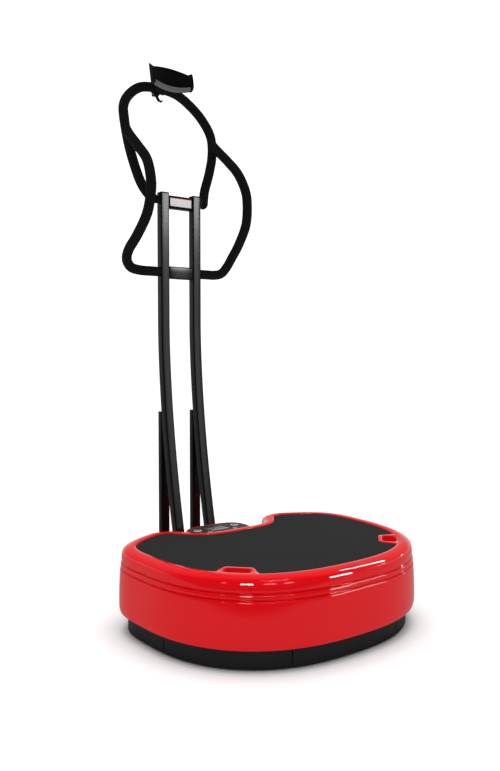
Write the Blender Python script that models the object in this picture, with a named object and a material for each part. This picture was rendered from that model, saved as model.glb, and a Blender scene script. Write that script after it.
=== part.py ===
"""A vibration plate: a sprung platform with two eccentric-weight motors, a console and a handlebar.

Metres, +Z up. It stands on Z = 0 with the user's side towards -Y, and X = 0 is its plane of symmetry.
The origin is on the floor under the middle of the whole object's box.
"""

from math import cos, pi, sin

import bmesh
import bpy
from mathutils import Matrix, Vector

# ---- driving dimensions -------------------------------------------------------------------------

MAT_WIDTH = 0.66  # the mat that the feet stand on, side to side
MAT_FRONT = -0.4080  # Y of the mat's front edge
MAT_TOP = 0.2075
PLATE_TOP = MAT_TOP - 0.0045
CASING_BOTTOM = 0.050
CASING_WALL = 0.040  # how far the casing's upright wall stands out from the mat's edge
FLOOR_GAP = 0.003  # under the black skirt
GAP = 0.0004  # between pieces that touch

OUTLINE_STEPS = 38  # points on each half of the plan outline
COLUMN_Y = MAT_FRONT + 0.723  # middle of the uprights at the top
LEG_SPACING = 0.110
LEG_WIDTH = 0.028
LEG_DEPTH = 0.026
REAR_LEG_DEPTH = 0.020
COLUMN_TOP = 1.152
SPLIT_HEIGHT = 0.512  # where the rear legs meet the front legs
SWEEP_HEIGHT = 0.78  # where the front legs start to sweep forwards
BAR_RADIUS = 0.0144
LOOP_RADIUS = 0.0142  # the outer grips, coped against the arch
BAR_END = LEG_SPACING / 2 + 0.010  # the bars' ends, inside the uprights before they are coped

POD_Y = MAT_FRONT + 0.520
POD_HALF = (0.097, 0.062)
PANEL_TOP = 0.190

PAN_BOTTOM = 0.0093
RAIL_BOTTOM = 0.0126
RAIL_TOP = 0.0376
LEG_FOOT = 0.0444
MOTOR_HEIGHT = 0.120
MOTOR_X = 0.145
MOTOR_Y = MAT_FRONT + 0.270
MOUNT_X = 0.200
MOUNT_YS = (MAT_FRONT + 0.125, MAT_FRONT + 0.360)
WHEEL_X = 0.112
WHEEL_Y = MAT_FRONT + 0.782
WHEEL_RADIUS = 0.026
AXLE_Z = 0.0295
AXLE_RADIUS = 0.005

BAR_TOP = Vector((0.0, COLUMN_Y + 0.118, 1.500))  # middle of the handlebar's arch
HOLDER_X = 0.008
HOLDER_LEAN = 0.20  # radians that the phone cradle leans back

RED = ("red_gloss", (0.68, 0.006, 0.009), 0.12, 0.0)
MAT_BLACK = ("mat_rubber", (0.036, 0.036, 0.036), 0.85, 0.0)
SKIRT_BLACK = ("skirt_plastic", (0.018, 0.019, 0.020), 0.45, 0.0)
POWDER_BLACK = ("powder_coat", (0.012, 0.012, 0.013), 0.38, 0.3)
GRIP_BLACK = ("grip_foam", (0.009, 0.009, 0.009), 0.8, 0.0)
HOLDER_BLACK = ("holder_plastic", (0.010, 0.010, 0.011), 0.35, 0.0)
LEDGE_GREY = ("ledge_grey", (0.14, 0.14, 0.145), 0.4, 0.0)
PANEL_GREY = ("panel_grey", (0.05, 0.052, 0.055), 0.4, 0.0)
LENS_GREY = ("display_lens", (0.16, 0.165, 0.17), 0.12, 0.0)
BUTTON_GREY = ("button_silver", (0.45, 0.45, 0.46), 0.3, 0.7)
PLATE_WHITE = ("nameplate_satin", (0.72, 0.70, 0.70), 0.35, 0.4)
STEEL = ("bare_steel", (0.42, 0.43, 0.44), 0.38, 1.0)
FRAME_GREY = ("frame_paint", (0.05, 0.05, 0.052), 0.5, 0.2)
MOTOR_GREY = ("motor_paint", (0.16, 0.17, 0.18), 0.5, 0.3)
WEIGHT_IRON = ("weight_iron", (0.10, 0.10, 0.10), 0.6, 0.9)
RUBBER = ("rubber", (0.015, 0.015, 0.015), 0.9, 0.0)
BOX_GREY = ("box_plastic", (0.08, 0.08, 0.085), 0.55, 0.0)
BOARD_GREEN = ("circuit_board", (0.01, 0.11, 0.04), 0.5, 0.0)


# ---- shape helpers ------------------------------------------------------------------------------


def clear_scene():
    for old in list(bpy.data.objects):
        bpy.data.objects.remove(old, do_unlink=True)


def material(finish):
    name, colour, roughness, metallic = finish
    made = bpy.data.materials.get(name)
    if made is None:
        made = bpy.data.materials.new(name)
        made.use_nodes = True
        made.diffuse_color = (*colour, 1.0)
        shader = made.node_tree.nodes["Principled BSDF"]
        shader.inputs["Base Color"].default_value = (*colour, 1.0)
        shader.inputs["Roughness"].default_value = roughness
        shader.inputs["Metallic"].default_value = metallic
    return made


def add_object(name, bm, finish, origin=(0.0, 0.0, 0.0), smooth=0.6):
    """Turns a bmesh in world space into an object whose origin is at the given point."""
    bmesh.ops.recalc_face_normals(bm, faces=bm.faces)
    if bm.calc_volume(signed=True) < 0:
        bmesh.ops.reverse_faces(bm, faces=bm.faces)
    bm.transform(Matrix.Translation(-Vector(origin)))
    mesh = bpy.data.meshes.new(name)
    bm.to_mesh(mesh)
    bm.free()
    mesh.shade_smooth()
    mesh.set_sharp_from_angle(angle=smooth)
    made = bpy.data.objects.new(name, mesh)
    made.location = origin
    made.data.materials.append(material(finish))
    bpy.context.scene.collection.objects.link(made)
    return made


def helper(bm):
    """A hidden solid that only cuts or joins others."""
    made = add_object(f"helper_{len(bpy.data.objects)}", bm, FRAME_GREY)
    made.hide_render = True
    made.display_type = "WIRE"
    return made


def boolean(target, tools, operation):
    for tool in tools:
        step = target.modifiers.new(operation.lower(), "BOOLEAN")
        step.operation = operation
        step.solver = "EXACT"
        step.object = tool


def cut(target, *solids):
    boolean(target, [helper(solid) for solid in solids], "DIFFERENCE")


def join(target, *solids):
    boolean(target, [helper(solid) for solid in solids], "UNION")


def box(low, high):
    bm = bmesh.new()
    bmesh.ops.create_cube(bm, size=1.0)
    middle = (Vector(low) + Vector(high)) / 2
    size = Vector(high) - Vector(low)
    for corner in bm.verts:
        corner.co = Vector(c * s for c, s in zip(corner.co, size)) + middle
    return bm


def rounded_box(low, high, radius, segments=2):
    bm = box(low, high)
    bmesh.ops.bevel(bm, geom=bm.edges[:], offset=radius, segments=segments, affect="EDGES", profile=0.5)
    return bm


def cylinder(start, end, radius, sides=24):
    start, end = Vector(start), Vector(end)
    bm = bmesh.new()
    bmesh.ops.create_cone(
        bm,
        cap_ends=True,
        segments=sides,
        radius1=radius,
        radius2=radius,
        depth=(end - start).length,
    )
    turn = (end - start).to_track_quat("Z", "Y").to_matrix().to_4x4()
    bm.transform(Matrix.Translation((start + end) / 2) @ turn)
    return bm


def prism(points, low, high):
    """A plan outline raised from one height to another."""
    bm = bmesh.new()
    base = bm.faces.new([bm.verts.new((x, y, low)) for x, y in points])
    raised = bmesh.ops.extrude_face_region(bm, geom=[base])
    moved = [part for part in raised["geom"] if isinstance(part, bmesh.types.BMVert)]
    bmesh.ops.translate(bm, verts=moved, vec=(0.0, 0.0, high - low))
    return bm


def bridge(bm, rings, close):
    """Skins a row of equal rings: closed into a loop, or capped at both ends."""
    rows = [[bm.verts.new(point) for point in ring] for ring in rings]
    pairs = list(zip(rows, rows[1:]))
    if close:
        pairs.append((rows[-1], rows[0]))
    for first, second in pairs:
        for i in range(len(first)):
            j = (i + 1) % len(first)
            bm.faces.new((first[i], first[j], second[j], second[i]))
    if not close:
        bm.faces.new(rows[0])
        bm.faces.new(rows[-1])
    return bm


def catmull_point(a, b, c, d, t):
    bend = 2 * a - 5 * b + 4 * c - d
    twist = 3 * b - a - 3 * c + d
    return 0.5 * (2 * b + (c - a) * t + bend * t**2 + twist * t**3)


def catmull(points, steps):
    """A smooth curve through the points, with that many steps to each span."""
    points = [Vector(point) for point in points]
    ends = [2 * points[0] - points[1], *points, 2 * points[-1] - points[-2]]
    curve = []
    for a, b, c, d in zip(ends, ends[1:], ends[2:], ends[3:]):
        curve += [catmull_point(a, b, c, d, k / steps) for k in range(steps)]
    curve.append(points[-1])
    return curve


def even_steps(curve, count):
    """The same curve as count equal steps."""
    runs = [0.0]
    for a, b in zip(curve, curve[1:]):
        runs.append(runs[-1] + (b - a).length)
    result = []
    k = 0
    for i in range(count + 1):
        want = runs[-1] * i / count
        while k < len(runs) - 2 and runs[k + 1] < want:
            k += 1
        share = (want - runs[k]) / max(runs[k + 1] - runs[k], 1e-12)
        result.append(curve[k].lerp(curve[k + 1], min(share, 1.0)))
    return result


def tube(points, radius, steps, sides=12, start_share=1.0):
    """A round tube along a smooth curve through the points; its first ring can be narrower."""
    path = even_steps(catmull(points, 12), steps)
    side = Vector((0.0, 1.0, 0.3)).normalized()
    rings = []
    for i, middle in enumerate(path):
        along = (path[min(i + 1, steps)] - path[max(i - 1, 0)]).normalized()
        side = (side - along * side.dot(along)).normalized()
        across = along.cross(side)
        turns = [2 * pi * k / sides for k in range(sides)]
        reach = radius * (start_share if i == 0 else 1.0)
        rings.append([middle + reach * (side * cos(a) + across * sin(a)) for a in turns])
    return bridge(bmesh.new(), rings, close=False)


def superellipse(half_x, half_y, middle_y, exponent=2.8, count=32):
    points = []
    for k in range(count):
        a = 2 * pi * k / count
        x = half_x * abs(cos(a)) ** (2 / exponent) * (1 if cos(a) >= 0 else -1)
        y = half_y * abs(sin(a)) ** (2 / exponent) * (1 if sin(a) >= 0 else -1)
        points.append((x, middle_y + y))
    return points


def rounded_rectangle(half_x, half_y, radius, corner_steps=2):
    points = []
    for quarter in range(4):
        sx = 1 if quarter in (0, 3) else -1
        sy = 1 if quarter in (0, 1) else -1
        x, y = sx * (half_x - radius), sy * (half_y - radius)
        for k in range(corner_steps + 1):
            a = pi / 2 * (quarter + k / corner_steps)
            points.append((x + radius * cos(a), y + radius * sin(a)))
    return points


# ---- the platform's plan outline ----------------------------------------------------------------


def half_outline():
    """The mat's right half in mat widths, from the middle of its front to the middle of the rear bay."""
    front = []
    for k in range(24):
        a = pi / 2 * k / 24
        front.append(Vector((0.5 * sin(a) ** 0.8, 0.485 * (1 - cos(a) ** 0.8))))
    side_and_lobe = [(0.5, 0.485), (0.5, 0.545), (0.491, 0.605)]
    side_and_lobe += [(0.464, 0.658), (0.418, 0.698), (0.362, 0.731)]
    lobe_tip = [(0.312, 0.752), (0.281, 0.750), (0.256, 0.724), (0.213, 0.672), (0.158, 0.632)]
    bay = [(0.085, 0.617), (0.0, 0.615)]
    rear = catmull([Vector(p) for p in side_and_lobe + lobe_tip + bay], 6)
    curve = [point * MAT_WIDTH + Vector((0.0, MAT_FRONT)) for point in front + rear]
    return even_steps(curve, OUTLINE_STEPS)


def outline(offset=0.0):
    """The closed plan outline, moved outwards by the offset."""
    half = half_outline()
    loop = half + [Vector((-p.x, p.y)) for p in reversed(half[1:-1])]
    moved = []
    for i, point in enumerate(loop):
        along = (loop[(i + 1) % len(loop)] - loop[i - 1]).normalized()
        moved.append(point + offset * Vector((along.y, -along.x)))
    return moved


def outline_sections(profile):
    """An (offset, height) profile standing at every point of the outline."""
    loops = [[Vector((p.x, p.y, height)) for p in outline(offset)] for offset, height in profile]
    return [list(section) for section in zip(*loops)]


# ---- platform: the part that shakes -------------------------------------------------------------

CORNER = Vector((0.367 * MAT_WIDTH, MAT_FRONT + 0.147 * MAT_WIDTH, 0.0))  # middle of a strap recess
CORNER_TURN = 0.80  # radians from X to the recess's long side


def corner_place(side):
    """Puts something drawn with its length along X in the right (1) or left (-1) front corner."""
    turn = Matrix.Rotation(CORNER_TURN * side, 4, "Z")
    return Matrix.Translation((side * CORNER.x, CORNER.y, 0.0)) @ turn


TAB_OUTER = (0.058, -0.025)  # half length and place of the tab's side at the bead
TAB_INNER = (0.037, 0.028)  # and of its side that breaks into the mat
TAB_ROUNDING = 0.010
POCKET_HALF = (0.0305, 0.0180)
POCKET_CORNER = 0.0062
POCKET_FLOOR = 0.1885
TAB_UNDERSIDE = 0.1835
PLATE_THICK = 0.008


def corner_tab(side, grow, low, high):
    """The flared tab that breaks into the mat, grown by a margin, between two heights."""
    outer_x, outer_y = TAB_OUTER[0] + grow, TAB_OUTER[1] - grow
    inner_x, inner_y = TAB_INNER[0] + grow, TAB_INNER[1] + grow
    corners = [(-outer_x, outer_y), (outer_x, outer_y), (inner_x, inner_y), (-inner_x, inner_y)]
    bm = prism(corners, low, high)
    uprights = [edge for edge in bm.edges if abs(edge.verts[0].co.z - edge.verts[1].co.z) > 1e-4]
    rounded = [edge for edge in uprights if edge.verts[0].co.y > 0]
    bmesh.ops.bevel(bm, geom=rounded, offset=TAB_ROUNDING, segments=3, affect="EDGES", profile=0.5)
    bm.transform(corner_place(side))
    return bm


def corner_pocket(side):
    """The eight-sided pocket that a strap's hook drops into."""
    x, y = POCKET_HALF
    short_x, short_y = x - POCKET_CORNER, y - POCKET_CORNER
    points = [(-x, -short_y), (-short_x, -y), (short_x, -y), (x, -short_y)]
    points += [(px, -py) for px, py in reversed(points)]
    bm = prism(points, POCKET_FLOOR, MAT_TOP + 0.01)
    bm.transform(corner_place(side))
    return bm


def make_casing():
    """One red shell: a bead round the mat, two grooves, a hollow wall and a flange under the mat."""
    wall = CASING_WALL
    bead = [(0.0012, 0.2073), (0.010, 0.2095), (0.022, 0.2090), (0.031, 0.2050), (0.0358, 0.1980)]
    grooves = [(wall - 0.0022, 0.1770), (wall - 0.0055, 0.1745), (wall - 0.0010, 0.1720)]
    lower = [(wall, 0.1625), (wall - 0.0038, 0.1597), (wall + 0.0010, 0.1570)]
    foot = [(wall + 0.0038, 0.110), (wall + 0.0042, 0.070), (wall + 0.0018, 0.054)]
    foot.append((wall - 0.0015, CASING_BOTTOM))
    inside = [(wall - 0.0048, CASING_BOTTOM), (wall - 0.0040, 0.110), (wall - 0.0085, 0.1560)]
    flange = [(wall - 0.0095, 0.1875), (0.024, 0.1990), (-0.012, 0.2000)]
    flange += [(-0.012, PLATE_TOP), (0.0012, PLATE_TOP)]
    sections = outline_sections(bead + grooves + lower + foot + inside + flange)
    casing = add_object("deck_casing", bridge(bmesh.new(), sections, close=True), RED)
    for side in (-1, 1):
        join(casing, corner_tab(side, 0.0, TAB_UNDERSIDE, MAT_TOP + 0.0005))
        cut(casing, corner_pocket(side))


def make_mat():
    mat = add_object("deck_mat", prism(outline(-GAP), PLATE_TOP + GAP, MAT_TOP), MAT_BLACK)
    for side in (-1, 1):
        cut(mat, corner_tab(side, 2 * GAP, PLATE_TOP - 0.02, MAT_TOP + 0.02))


def make_deck_plate():
    plate = prism(outline(-0.0127), PLATE_TOP - PLATE_THICK, PLATE_TOP)
    plate = add_object("deck_plate", plate, STEEL)
    for side in (-1, 1):
        cut(plate, corner_tab(side, 3 * GAP, PLATE_TOP - 0.02, MAT_TOP + 0.02))


FRAME_BOTTOM = 0.1745
MOUNT_TOP = 0.071
LEG_CLEARANCE = 0.0028  # between a frame leg and its mount, for the platform's bounce
STUD_RADIUS = 0.006
STUD_BOTTOM = 0.048
SHAFT_RADIUS = 0.0078
WEIGHT_RADIUS = 0.036


def make_deck_frame():
    """The welded frame under the plate, with a leg and a guide stud over each rubber mount."""
    front, rear = MOUNT_YS
    low, high = FRAME_BOTTOM, PLATE_TOP - PLATE_THICK - GAP
    reach, half_bar, half_rail, half_leg = 0.225, 0.020, 0.024, 0.018
    bar = box((-reach, front - half_bar, low), (reach, front + half_bar, high))
    frame = add_object("deck_frame", bar, FRAME_GREY)
    join(frame, box((-reach, rear - half_bar, low), (reach, rear + half_bar, high)))
    for side in (-1, 1):
        rail = side * MOTOR_X
        rail_low = (rail - half_rail, front, low + 0.0005)
        join(frame, box(rail_low, (rail + half_rail, rear, high - 0.0005)))
        for y in MOUNT_YS:
            x = side * MOUNT_X
            leg_low = (x - half_leg, y - half_leg, MOUNT_TOP + LEG_CLEARANCE)
            join(frame, box(leg_low, (x + half_leg, y + half_leg, low + 0.0055)))
            join(frame, cylinder((x, y, STUD_BOTTOM), (x, y, MOUNT_TOP + 0.019), STUD_RADIUS, sides=16))
        cut(frame, corner_tab(side, 0.0015, TAB_UNDERSIDE - 0.0015, MAT_TOP))


def motor_place(side):
    return Vector((side * MOTOR_X, MOTOR_Y, MOTOR_HEIGHT))


def make_motor(side, name):
    middle = motor_place(side)
    half = Vector((0.048, 0.0, 0.0))
    body = cylinder(middle - half, middle + half, 0.042, sides=28)
    motor = add_object(f"motor_{name}", body, MOTOR_GREY)
    foot = Vector((0.036, 0.034, FRAME_BOTTOM - GAP - middle.z))
    join(motor, box(middle + Vector((-foot.x, -foot.y, 0.01)), middle + foot))
    cut(motor, cylinder(middle - 2 * half, middle + 2 * half, SHAFT_RADIUS + 0.0005, sides=20))
    shaft_half = Vector((0.079, 0.0, 0.0))
    shaft = cylinder(middle - shaft_half, middle + shaft_half, SHAFT_RADIUS, sides=20)
    add_object(f"motor_{name}_shaft", shaft, STEEL, origin=middle)
    for end, end_name in ((-1, "a"), (1, "b")):
        make_weight(middle + Vector((end * 0.064, 0.0, 0.0)), f"motor_{name}_weight_{end_name}", middle)


def make_weight(middle, name, origin):
    """A half-moon eccentric weight clamped on the shaft, its heavy side down."""
    steps = 12
    half, hub = 0.009, 0.014
    turns = [pi * k / steps for k in range(steps + 1)]
    points = [(-WEIGHT_RADIUS * cos(a), -WEIGHT_RADIUS * sin(a)) for a in turns]
    points += [(hub * cos(a), hub * sin(a)) for a in turns]
    bm = prism(points, -half, half)
    lay_along_x = Matrix(((0, 0, 1, 0), (1, 0, 0, 0), (0, 1, 0, 0), (0, 0, 0, 1)))
    bm.transform(Matrix.Translation(middle) @ lay_along_x)
    weight = add_object(name, bm, WEIGHT_IRON, origin=origin)
    reach = Vector((2 * half, 0.0, 0.0))
    cut(weight, cylinder(middle - reach, middle + reach, SHAFT_RADIUS + 0.0003, sides=20))


# ---- base: the part that stands still -----------------------------------------------------------


def make_base_pan():
    add_object("base_pan", prism(outline(0.0180), PAN_BOTTOM, PAN_BOTTOM + 0.003), FRAME_GREY)


def make_base_frame():
    """The ladder frame on the pan, with the tail that carries the column and the transport wheels."""
    low, high = RAIL_BOTTOM, RAIL_TOP
    front, rear = MOUNT_YS[0] - 0.03, MOUNT_YS[1] + 0.03
    rail = box((-MOUNT_X - 0.022, front, low), (-MOUNT_X + 0.022, rear, high))
    frame = add_object("base_frame", rail, FRAME_GREY)
    join(frame, box((MOUNT_X - 0.022, front, low), (MOUNT_X + 0.022, rear, high)))
    for y in (MOUNT_YS[0], MOTOR_Y - 0.02, MOUNT_YS[1]):
        join(frame, box((-MOUNT_X, y - 0.018, low + 0.0004), (MOUNT_X, y + 0.018, high - 0.0004)))
    tail_end = MAT_FRONT + 0.765
    for side in (-1, 1):
        x = side * LEG_SPACING / 2
        join(frame, box((x - 0.023, MOTOR_Y, low + 0.0002), (x + 0.023, tail_end, high - 0.0002)))
    cross_low = (-0.150, tail_end - 0.045, low + 0.0006)
    join(frame, box(cross_low, (0.150, tail_end - 0.010, high - 0.0006)))
    for side in (-1, 1):
        x = side * (WHEEL_X - 0.020)
        fork_low = (x - 0.005, tail_end - 0.030, low + 0.0024)
        join(frame, box(fork_low, (x + 0.005, WHEEL_Y + 0.012, high - 0.0008)))
        axle_start = (side * (WHEEL_X - 0.022), WHEEL_Y, AXLE_Z)
        axle_end = (side * (WHEEL_X + 0.015), WHEEL_Y, AXLE_Z)
        join(frame, cylinder(axle_start, axle_end, AXLE_RADIUS, sides=16))


def make_column_foot():
    """The plate bolted on the tail, with all four legs welded to it."""
    low = (-0.085, MAT_FRONT + 0.5945, RAIL_TOP + GAP)
    high = (0.085, MAT_FRONT + 0.7500, LEG_FOOT - GAP)
    add_object("column_foot", rounded_box(low, high, 0.0012, 1), FRAME_GREY)


def make_feet():
    """Wide pads under the pan at the front, and narrow ones under the tail."""
    for side, name in ((-1, "left"), (1, "right")):
        x, y = side * 0.190, MAT_FRONT + 0.095
        front = cylinder((x, y, 0.0), (x, y, PAN_BOTTOM - GAP), 0.025)
        add_object(f"foot_front_{name}", front, RUBBER)
        x, y = side * 0.135, MAT_FRONT + 0.737
        rear = cylinder((x, y, 0.0), (x, y, RAIL_BOTTOM + 0.0002), 0.016)
        add_object(f"foot_rear_{name}", rear, RUBBER)


def seam_index(x, y):
    """The outline point nearest to a seam, for the right half."""
    half = half_outline()
    return min(range(len(half)), key=lambda k: (half[k] - Vector((x, y))).length)


def make_skirt():
    """Black skirt panels with narrow seams between them, open at the rear bay."""
    inner, outer, top = 0.0190, 0.0225, 0.074
    wall = [(inner, FLOOR_GAP), (outer, FLOOR_GAP), (outer, top), (inner, top)]
    total = 2 * OUTLINE_STEPS
    front_seam = seam_index(0.24 * MAT_WIDTH, MAT_FRONT + 0.03 * MAT_WIDTH)
    side_seam = seam_index(0.49 * MAT_WIDTH, MAT_FRONT + 0.37 * MAT_WIDTH)
    bay_end = seam_index(0.165 * MAT_WIDTH, MAT_FRONT + 0.64 * MAT_WIDTH)
    sections = outline_sections(wall)
    spans = {
        "front": (-front_seam, front_seam),
        "right": (front_seam, side_seam),
        "rear_right": (side_seam, bay_end),
        "left": (total - side_seam, total - front_seam),
        "rear_left": (total - bay_end, total - side_seam),
    }
    for name, (first, last) in spans.items():
        rings = [list(sections[k % total]) for k in range(first, last + 1)]
        trim_end(rings, 0, 1)
        trim_end(rings, -1, -2)
        add_object(f"skirt_{name}", bridge(bmesh.new(), rings, close=False), SKIRT_BLACK)


def trim_end(rings, end, inner):
    """Draws the last ring back by half a seam's width."""
    half_seam = 0.0010
    shift = rings[inner][0] - rings[end][0]
    shift = shift.normalized() * half_seam
    rings[end] = [point + shift for point in rings[end]]


def make_rubber_mounts():
    for side, side_name in ((-1, "left"), (1, "right")):
        for y, end_name in zip(MOUNT_YS, ("front", "rear")):
            x = side * MOUNT_X
            block = cylinder((x, y, RAIL_TOP + GAP), (x, y, MOUNT_TOP), 0.0215, sides=20)
            mount = add_object(f"rubber_mount_{end_name}_{side_name}", block, RUBBER)
            bore = STUD_RADIUS + 0.0006
            cut(mount, cylinder((x, y, RAIL_TOP - 0.01), (x, y, MOUNT_TOP + 0.02), bore, sides=16))


def make_control_box():
    y = MAT_FRONT + 0.060
    low = PAN_BOTTOM + 0.003 + GAP
    body = rounded_box((-0.085, y - 0.030, low), (0.085, y + 0.030, 0.082), 0.004, 1)
    add_object("motor_controller", body, BOX_GREY)


# ---- console pod --------------------------------------------------------------------------------

INLET_X = -0.024
SWITCH_X = 0.024
POWER_Z = 0.072
INLET_HALF = (0.0138, 0.0098)
SWITCH_HALF = (0.0103, 0.0068)


def rear_window(x, half, margin, behind, ahead):
    """A box through the pod's rear wall at the power sockets' height."""
    rear = POD_Y + POD_HALF[1]
    wide, tall = half[0] + margin, half[1] + margin
    return box((x - wide, rear - behind, POWER_Z - tall), (x + wide, rear + ahead, POWER_Z + tall))


def make_pod():
    """The red console housing in the rear bay: a hollow column with a lip that holds the panel."""
    half_x, half_y = POD_HALF
    rear = POD_Y + half_y
    levels = [(0.0, RAIL_TOP + GAP), (0.0, 0.172), (-0.0015, 0.184)]
    levels += [(-0.0045, 0.1905), (-0.0068, 0.1905)]
    inner = [(-0.0068, 0.1846), (-0.012, 0.1846), (-0.012, 0.1820)]
    inner += [(-0.0035, 0.1800), (-0.0035, RAIL_TOP + GAP)]
    rings = []
    for grow, height in levels + inner:
        points = superellipse(half_x + grow, half_y + grow, POD_Y)
        rings.append([Vector((x, y, height)) for x, y in points])
    sections = [list(section) for section in zip(*rings)]
    pod = add_object("console_pod", bridge(bmesh.new(), sections, close=True), RED)
    join(pod, box((-0.046, rear - 0.0050, 0.045), (0.046, rear + 0.0020, 0.099)))
    cut(pod, rear_window(INLET_X, INLET_HALF, GAP, 0.01, 0.01))
    cut(pod, rear_window(SWITCH_X, SWITCH_HALF, GAP, 0.01, 0.01))


BUTTONS = {
    "start_stop_button": (-0.063, 0.011, 0.011),
    "mode_button": (0.063, 0.011, 0.011),
    "minus_button": (-0.042, -0.0215, 0.0065),
    "plus_button": (0.042, -0.0215, 0.0065),
}
DISPLAY_HALF = (0.032, 0.0155)
DISPLAY_Y = POD_Y + 0.014


def make_panel():
    points = superellipse(POD_HALF[0] - 0.0072, POD_HALF[1] - 0.0072, POD_Y)
    panel = add_object("console_panel", prism(points, PANEL_TOP - 0.005, PANEL_TOP), PANEL_GREY)
    for x, y, radius in BUTTONS.values():
        cut(panel, cylinder((x, POD_Y + y, 0.17), (x, POD_Y + y, 0.21), radius + 0.0004))
    wide, deep = DISPLAY_HALF
    cut(panel, box((-wide, DISPLAY_Y - deep, 0.1), (wide, DISPLAY_Y + deep, 0.3)))


def make_display():
    wide, deep = DISPLAY_HALF[0] - GAP, DISPLAY_HALF[1] - GAP
    low = (-wide, DISPLAY_Y - deep, PANEL_TOP - 0.004)
    lens = box(low, (wide, DISPLAY_Y + deep, PANEL_TOP - 0.0003))
    add_object("console_display", lens, LENS_GREY)


def make_buttons():
    """Each key stands a little proud and sinks by its travel towards the circuit board."""
    for name, (x, y, radius) in BUTTONS.items():
        place = Vector((x, POD_Y + y, PANEL_TOP))
        bm = cylinder(place - Vector((0, 0, 0.0075)), place + Vector((0, 0, 0.0014)), radius, sides=24)
        rim = [edge for edge in bm.edges if all(v.co.z > PANEL_TOP for v in edge.verts)]
        bmesh.ops.bevel(bm, geom=rim, offset=0.0006, segments=1, affect="EDGES")
        add_object(name, bm, BUTTON_GREY, origin=place)


def make_board():
    points = superellipse(POD_HALF[0] - 0.020, POD_HALF[1] - 0.020, POD_Y, count=28)
    add_object("console_board", prism(points, 0.1780, 0.1796), BOARD_GREEN)


def make_power_inlet():
    """The socket that the mains lead plugs into, with three pins."""
    inlet = add_object("mains_inlet", rear_window(INLET_X, INLET_HALF, 0.0, 0.018, 0.0032), BOX_GREY)
    cut(inlet, rear_window(INLET_X, (0.0115, 0.0077), 0.0, 0.0135, 0.01))
    for pin in (-0.007, 0.0, 0.007):
        join(inlet, rear_window(INLET_X + pin, (0.0010, 0.0022), 0.0, 0.0150, 0.0005))


def make_power_switch():
    """A rocker that tips about X, in the pod's rear face."""
    rear = POD_Y + POD_HALF[1]
    pivot = Vector((SWITCH_X, rear - 0.0040, POWER_Z))
    steps = 10
    turns = [pi * (0.25 + 0.5 * k / steps) for k in range(steps + 1)]
    points = [(0.0066 * cos(a), 0.0088 * sin(a)) for a in turns]
    points += [(-0.0040, -0.0055), (0.0040, -0.0055)]
    bm = prism(points, -0.0100, 0.0100)
    lay_along_x = Matrix(((0, 0, 1, 0), (0, 1, 0, 0), (1, 0, 0, 0), (0, 0, 0, 1)))
    bm.transform(Matrix.Translation(pivot) @ lay_along_x)
    add_object("power_switch", bm, BOX_GREY, origin=pivot)


# ---- column -------------------------------------------------------------------------------------


LEG_STEPS = 14
LEG_ROUNDING = 0.004


def sweep_forward(z):
    """How far in front of the column's line a front leg runs at a height."""
    return 0.181 * max(SWEEP_HEIGHT - z, 0.0) ** 1.75


def front_leg(x, grow):
    rise = SWEEP_HEIGHT - LEG_FOOT
    heights = [LEG_FOOT - 2 * grow + rise * k / LEG_STEPS for k in range(LEG_STEPS + 1)]
    heights.append(COLUMN_TOP)
    section = rounded_rectangle(LEG_WIDTH / 2 + grow, LEG_DEPTH / 2 + grow, LEG_ROUNDING)
    rings = []
    for z in heights:
        y = COLUMN_Y - sweep_forward(z)
        rings.append([Vector((x + px, y + py, z)) for px, py in section])
    return bridge(bmesh.new(), rings, close=False)


def make_legs():
    rear_y = COLUMN_Y + (LEG_DEPTH - REAR_LEG_DEPTH) / 2
    for side, name in ((-1, "left"), (1, "right")):
        x = side * LEG_SPACING / 2
        add_object(f"front_leg_{name}", front_leg(x, 0.0), POWDER_BLACK)
        section = rounded_rectangle(LEG_WIDTH / 2, REAR_LEG_DEPTH / 2, LEG_ROUNDING)
        post = prism([(x + px, rear_y + py) for px, py in section], LEG_FOOT, SPLIT_HEIGHT)
        rear = add_object(f"rear_leg_{name}", post, POWDER_BLACK)
        cut(rear, front_leg(x, GAP))
        low = (x - LEG_WIDTH / 2, COLUMN_Y - LEG_DEPTH / 2, COLUMN_TOP + GAP)
        high = (x + LEG_WIDTH / 2, COLUMN_Y + LEG_DEPTH / 2, COLUMN_TOP + 0.004)
        add_object(f"leg_cap_{name}", rounded_box(low, high, 0.0015, 1), HOLDER_BLACK)


def make_crossbars():
    """Two bars between the uprights, the upper one with a blank plate on its front."""
    inner = LEG_SPACING / 2 - LEG_WIDTH / 2 - GAP
    front, back = COLUMN_Y - 0.008, COLUMN_Y + 0.012
    upper = rounded_box((-inner, front, 1.111), (inner, back, 1.149), 0.002, 1)
    add_object("upper_crossbar", upper, POWDER_BLACK)
    lower = rounded_box((-inner, front - 0.004, 0.905), (inner, back, 0.941), 0.003, 2)
    add_object("lower_crossbar", lower, POWDER_BLACK)
    half = inner - 0.004
    plate = rounded_box((-half, front - 0.0022, 1.118), (half, front - GAP, 1.141), 0.0006, 1)
    add_object("nameplate", plate, PLATE_WHITE)


# ---- handlebar ----------------------------------------------------------------------------------


def arch_route():
    """Right half of the arch, from its middle down the inner branch to the upright's side."""
    y = COLUMN_Y
    return [
        BAR_TOP,
        Vector((0.062, y + 0.113, 1.489)),
        Vector((0.108, y + 0.101, 1.457)),
        Vector((0.139, y + 0.082, 1.414)),
        Vector((0.151, y + 0.055, 1.360)),
        Vector((0.147, y + 0.042, 1.300)),
        Vector((0.133, y + 0.037, 1.243)),
        Vector((0.113, y + 0.032, 1.187)),
        Vector((0.099, y + 0.018, 1.154)),
        Vector((0.086, y + 0.003, 1.136)),
        Vector((BAR_END, y, 1.134)),
    ]


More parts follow.
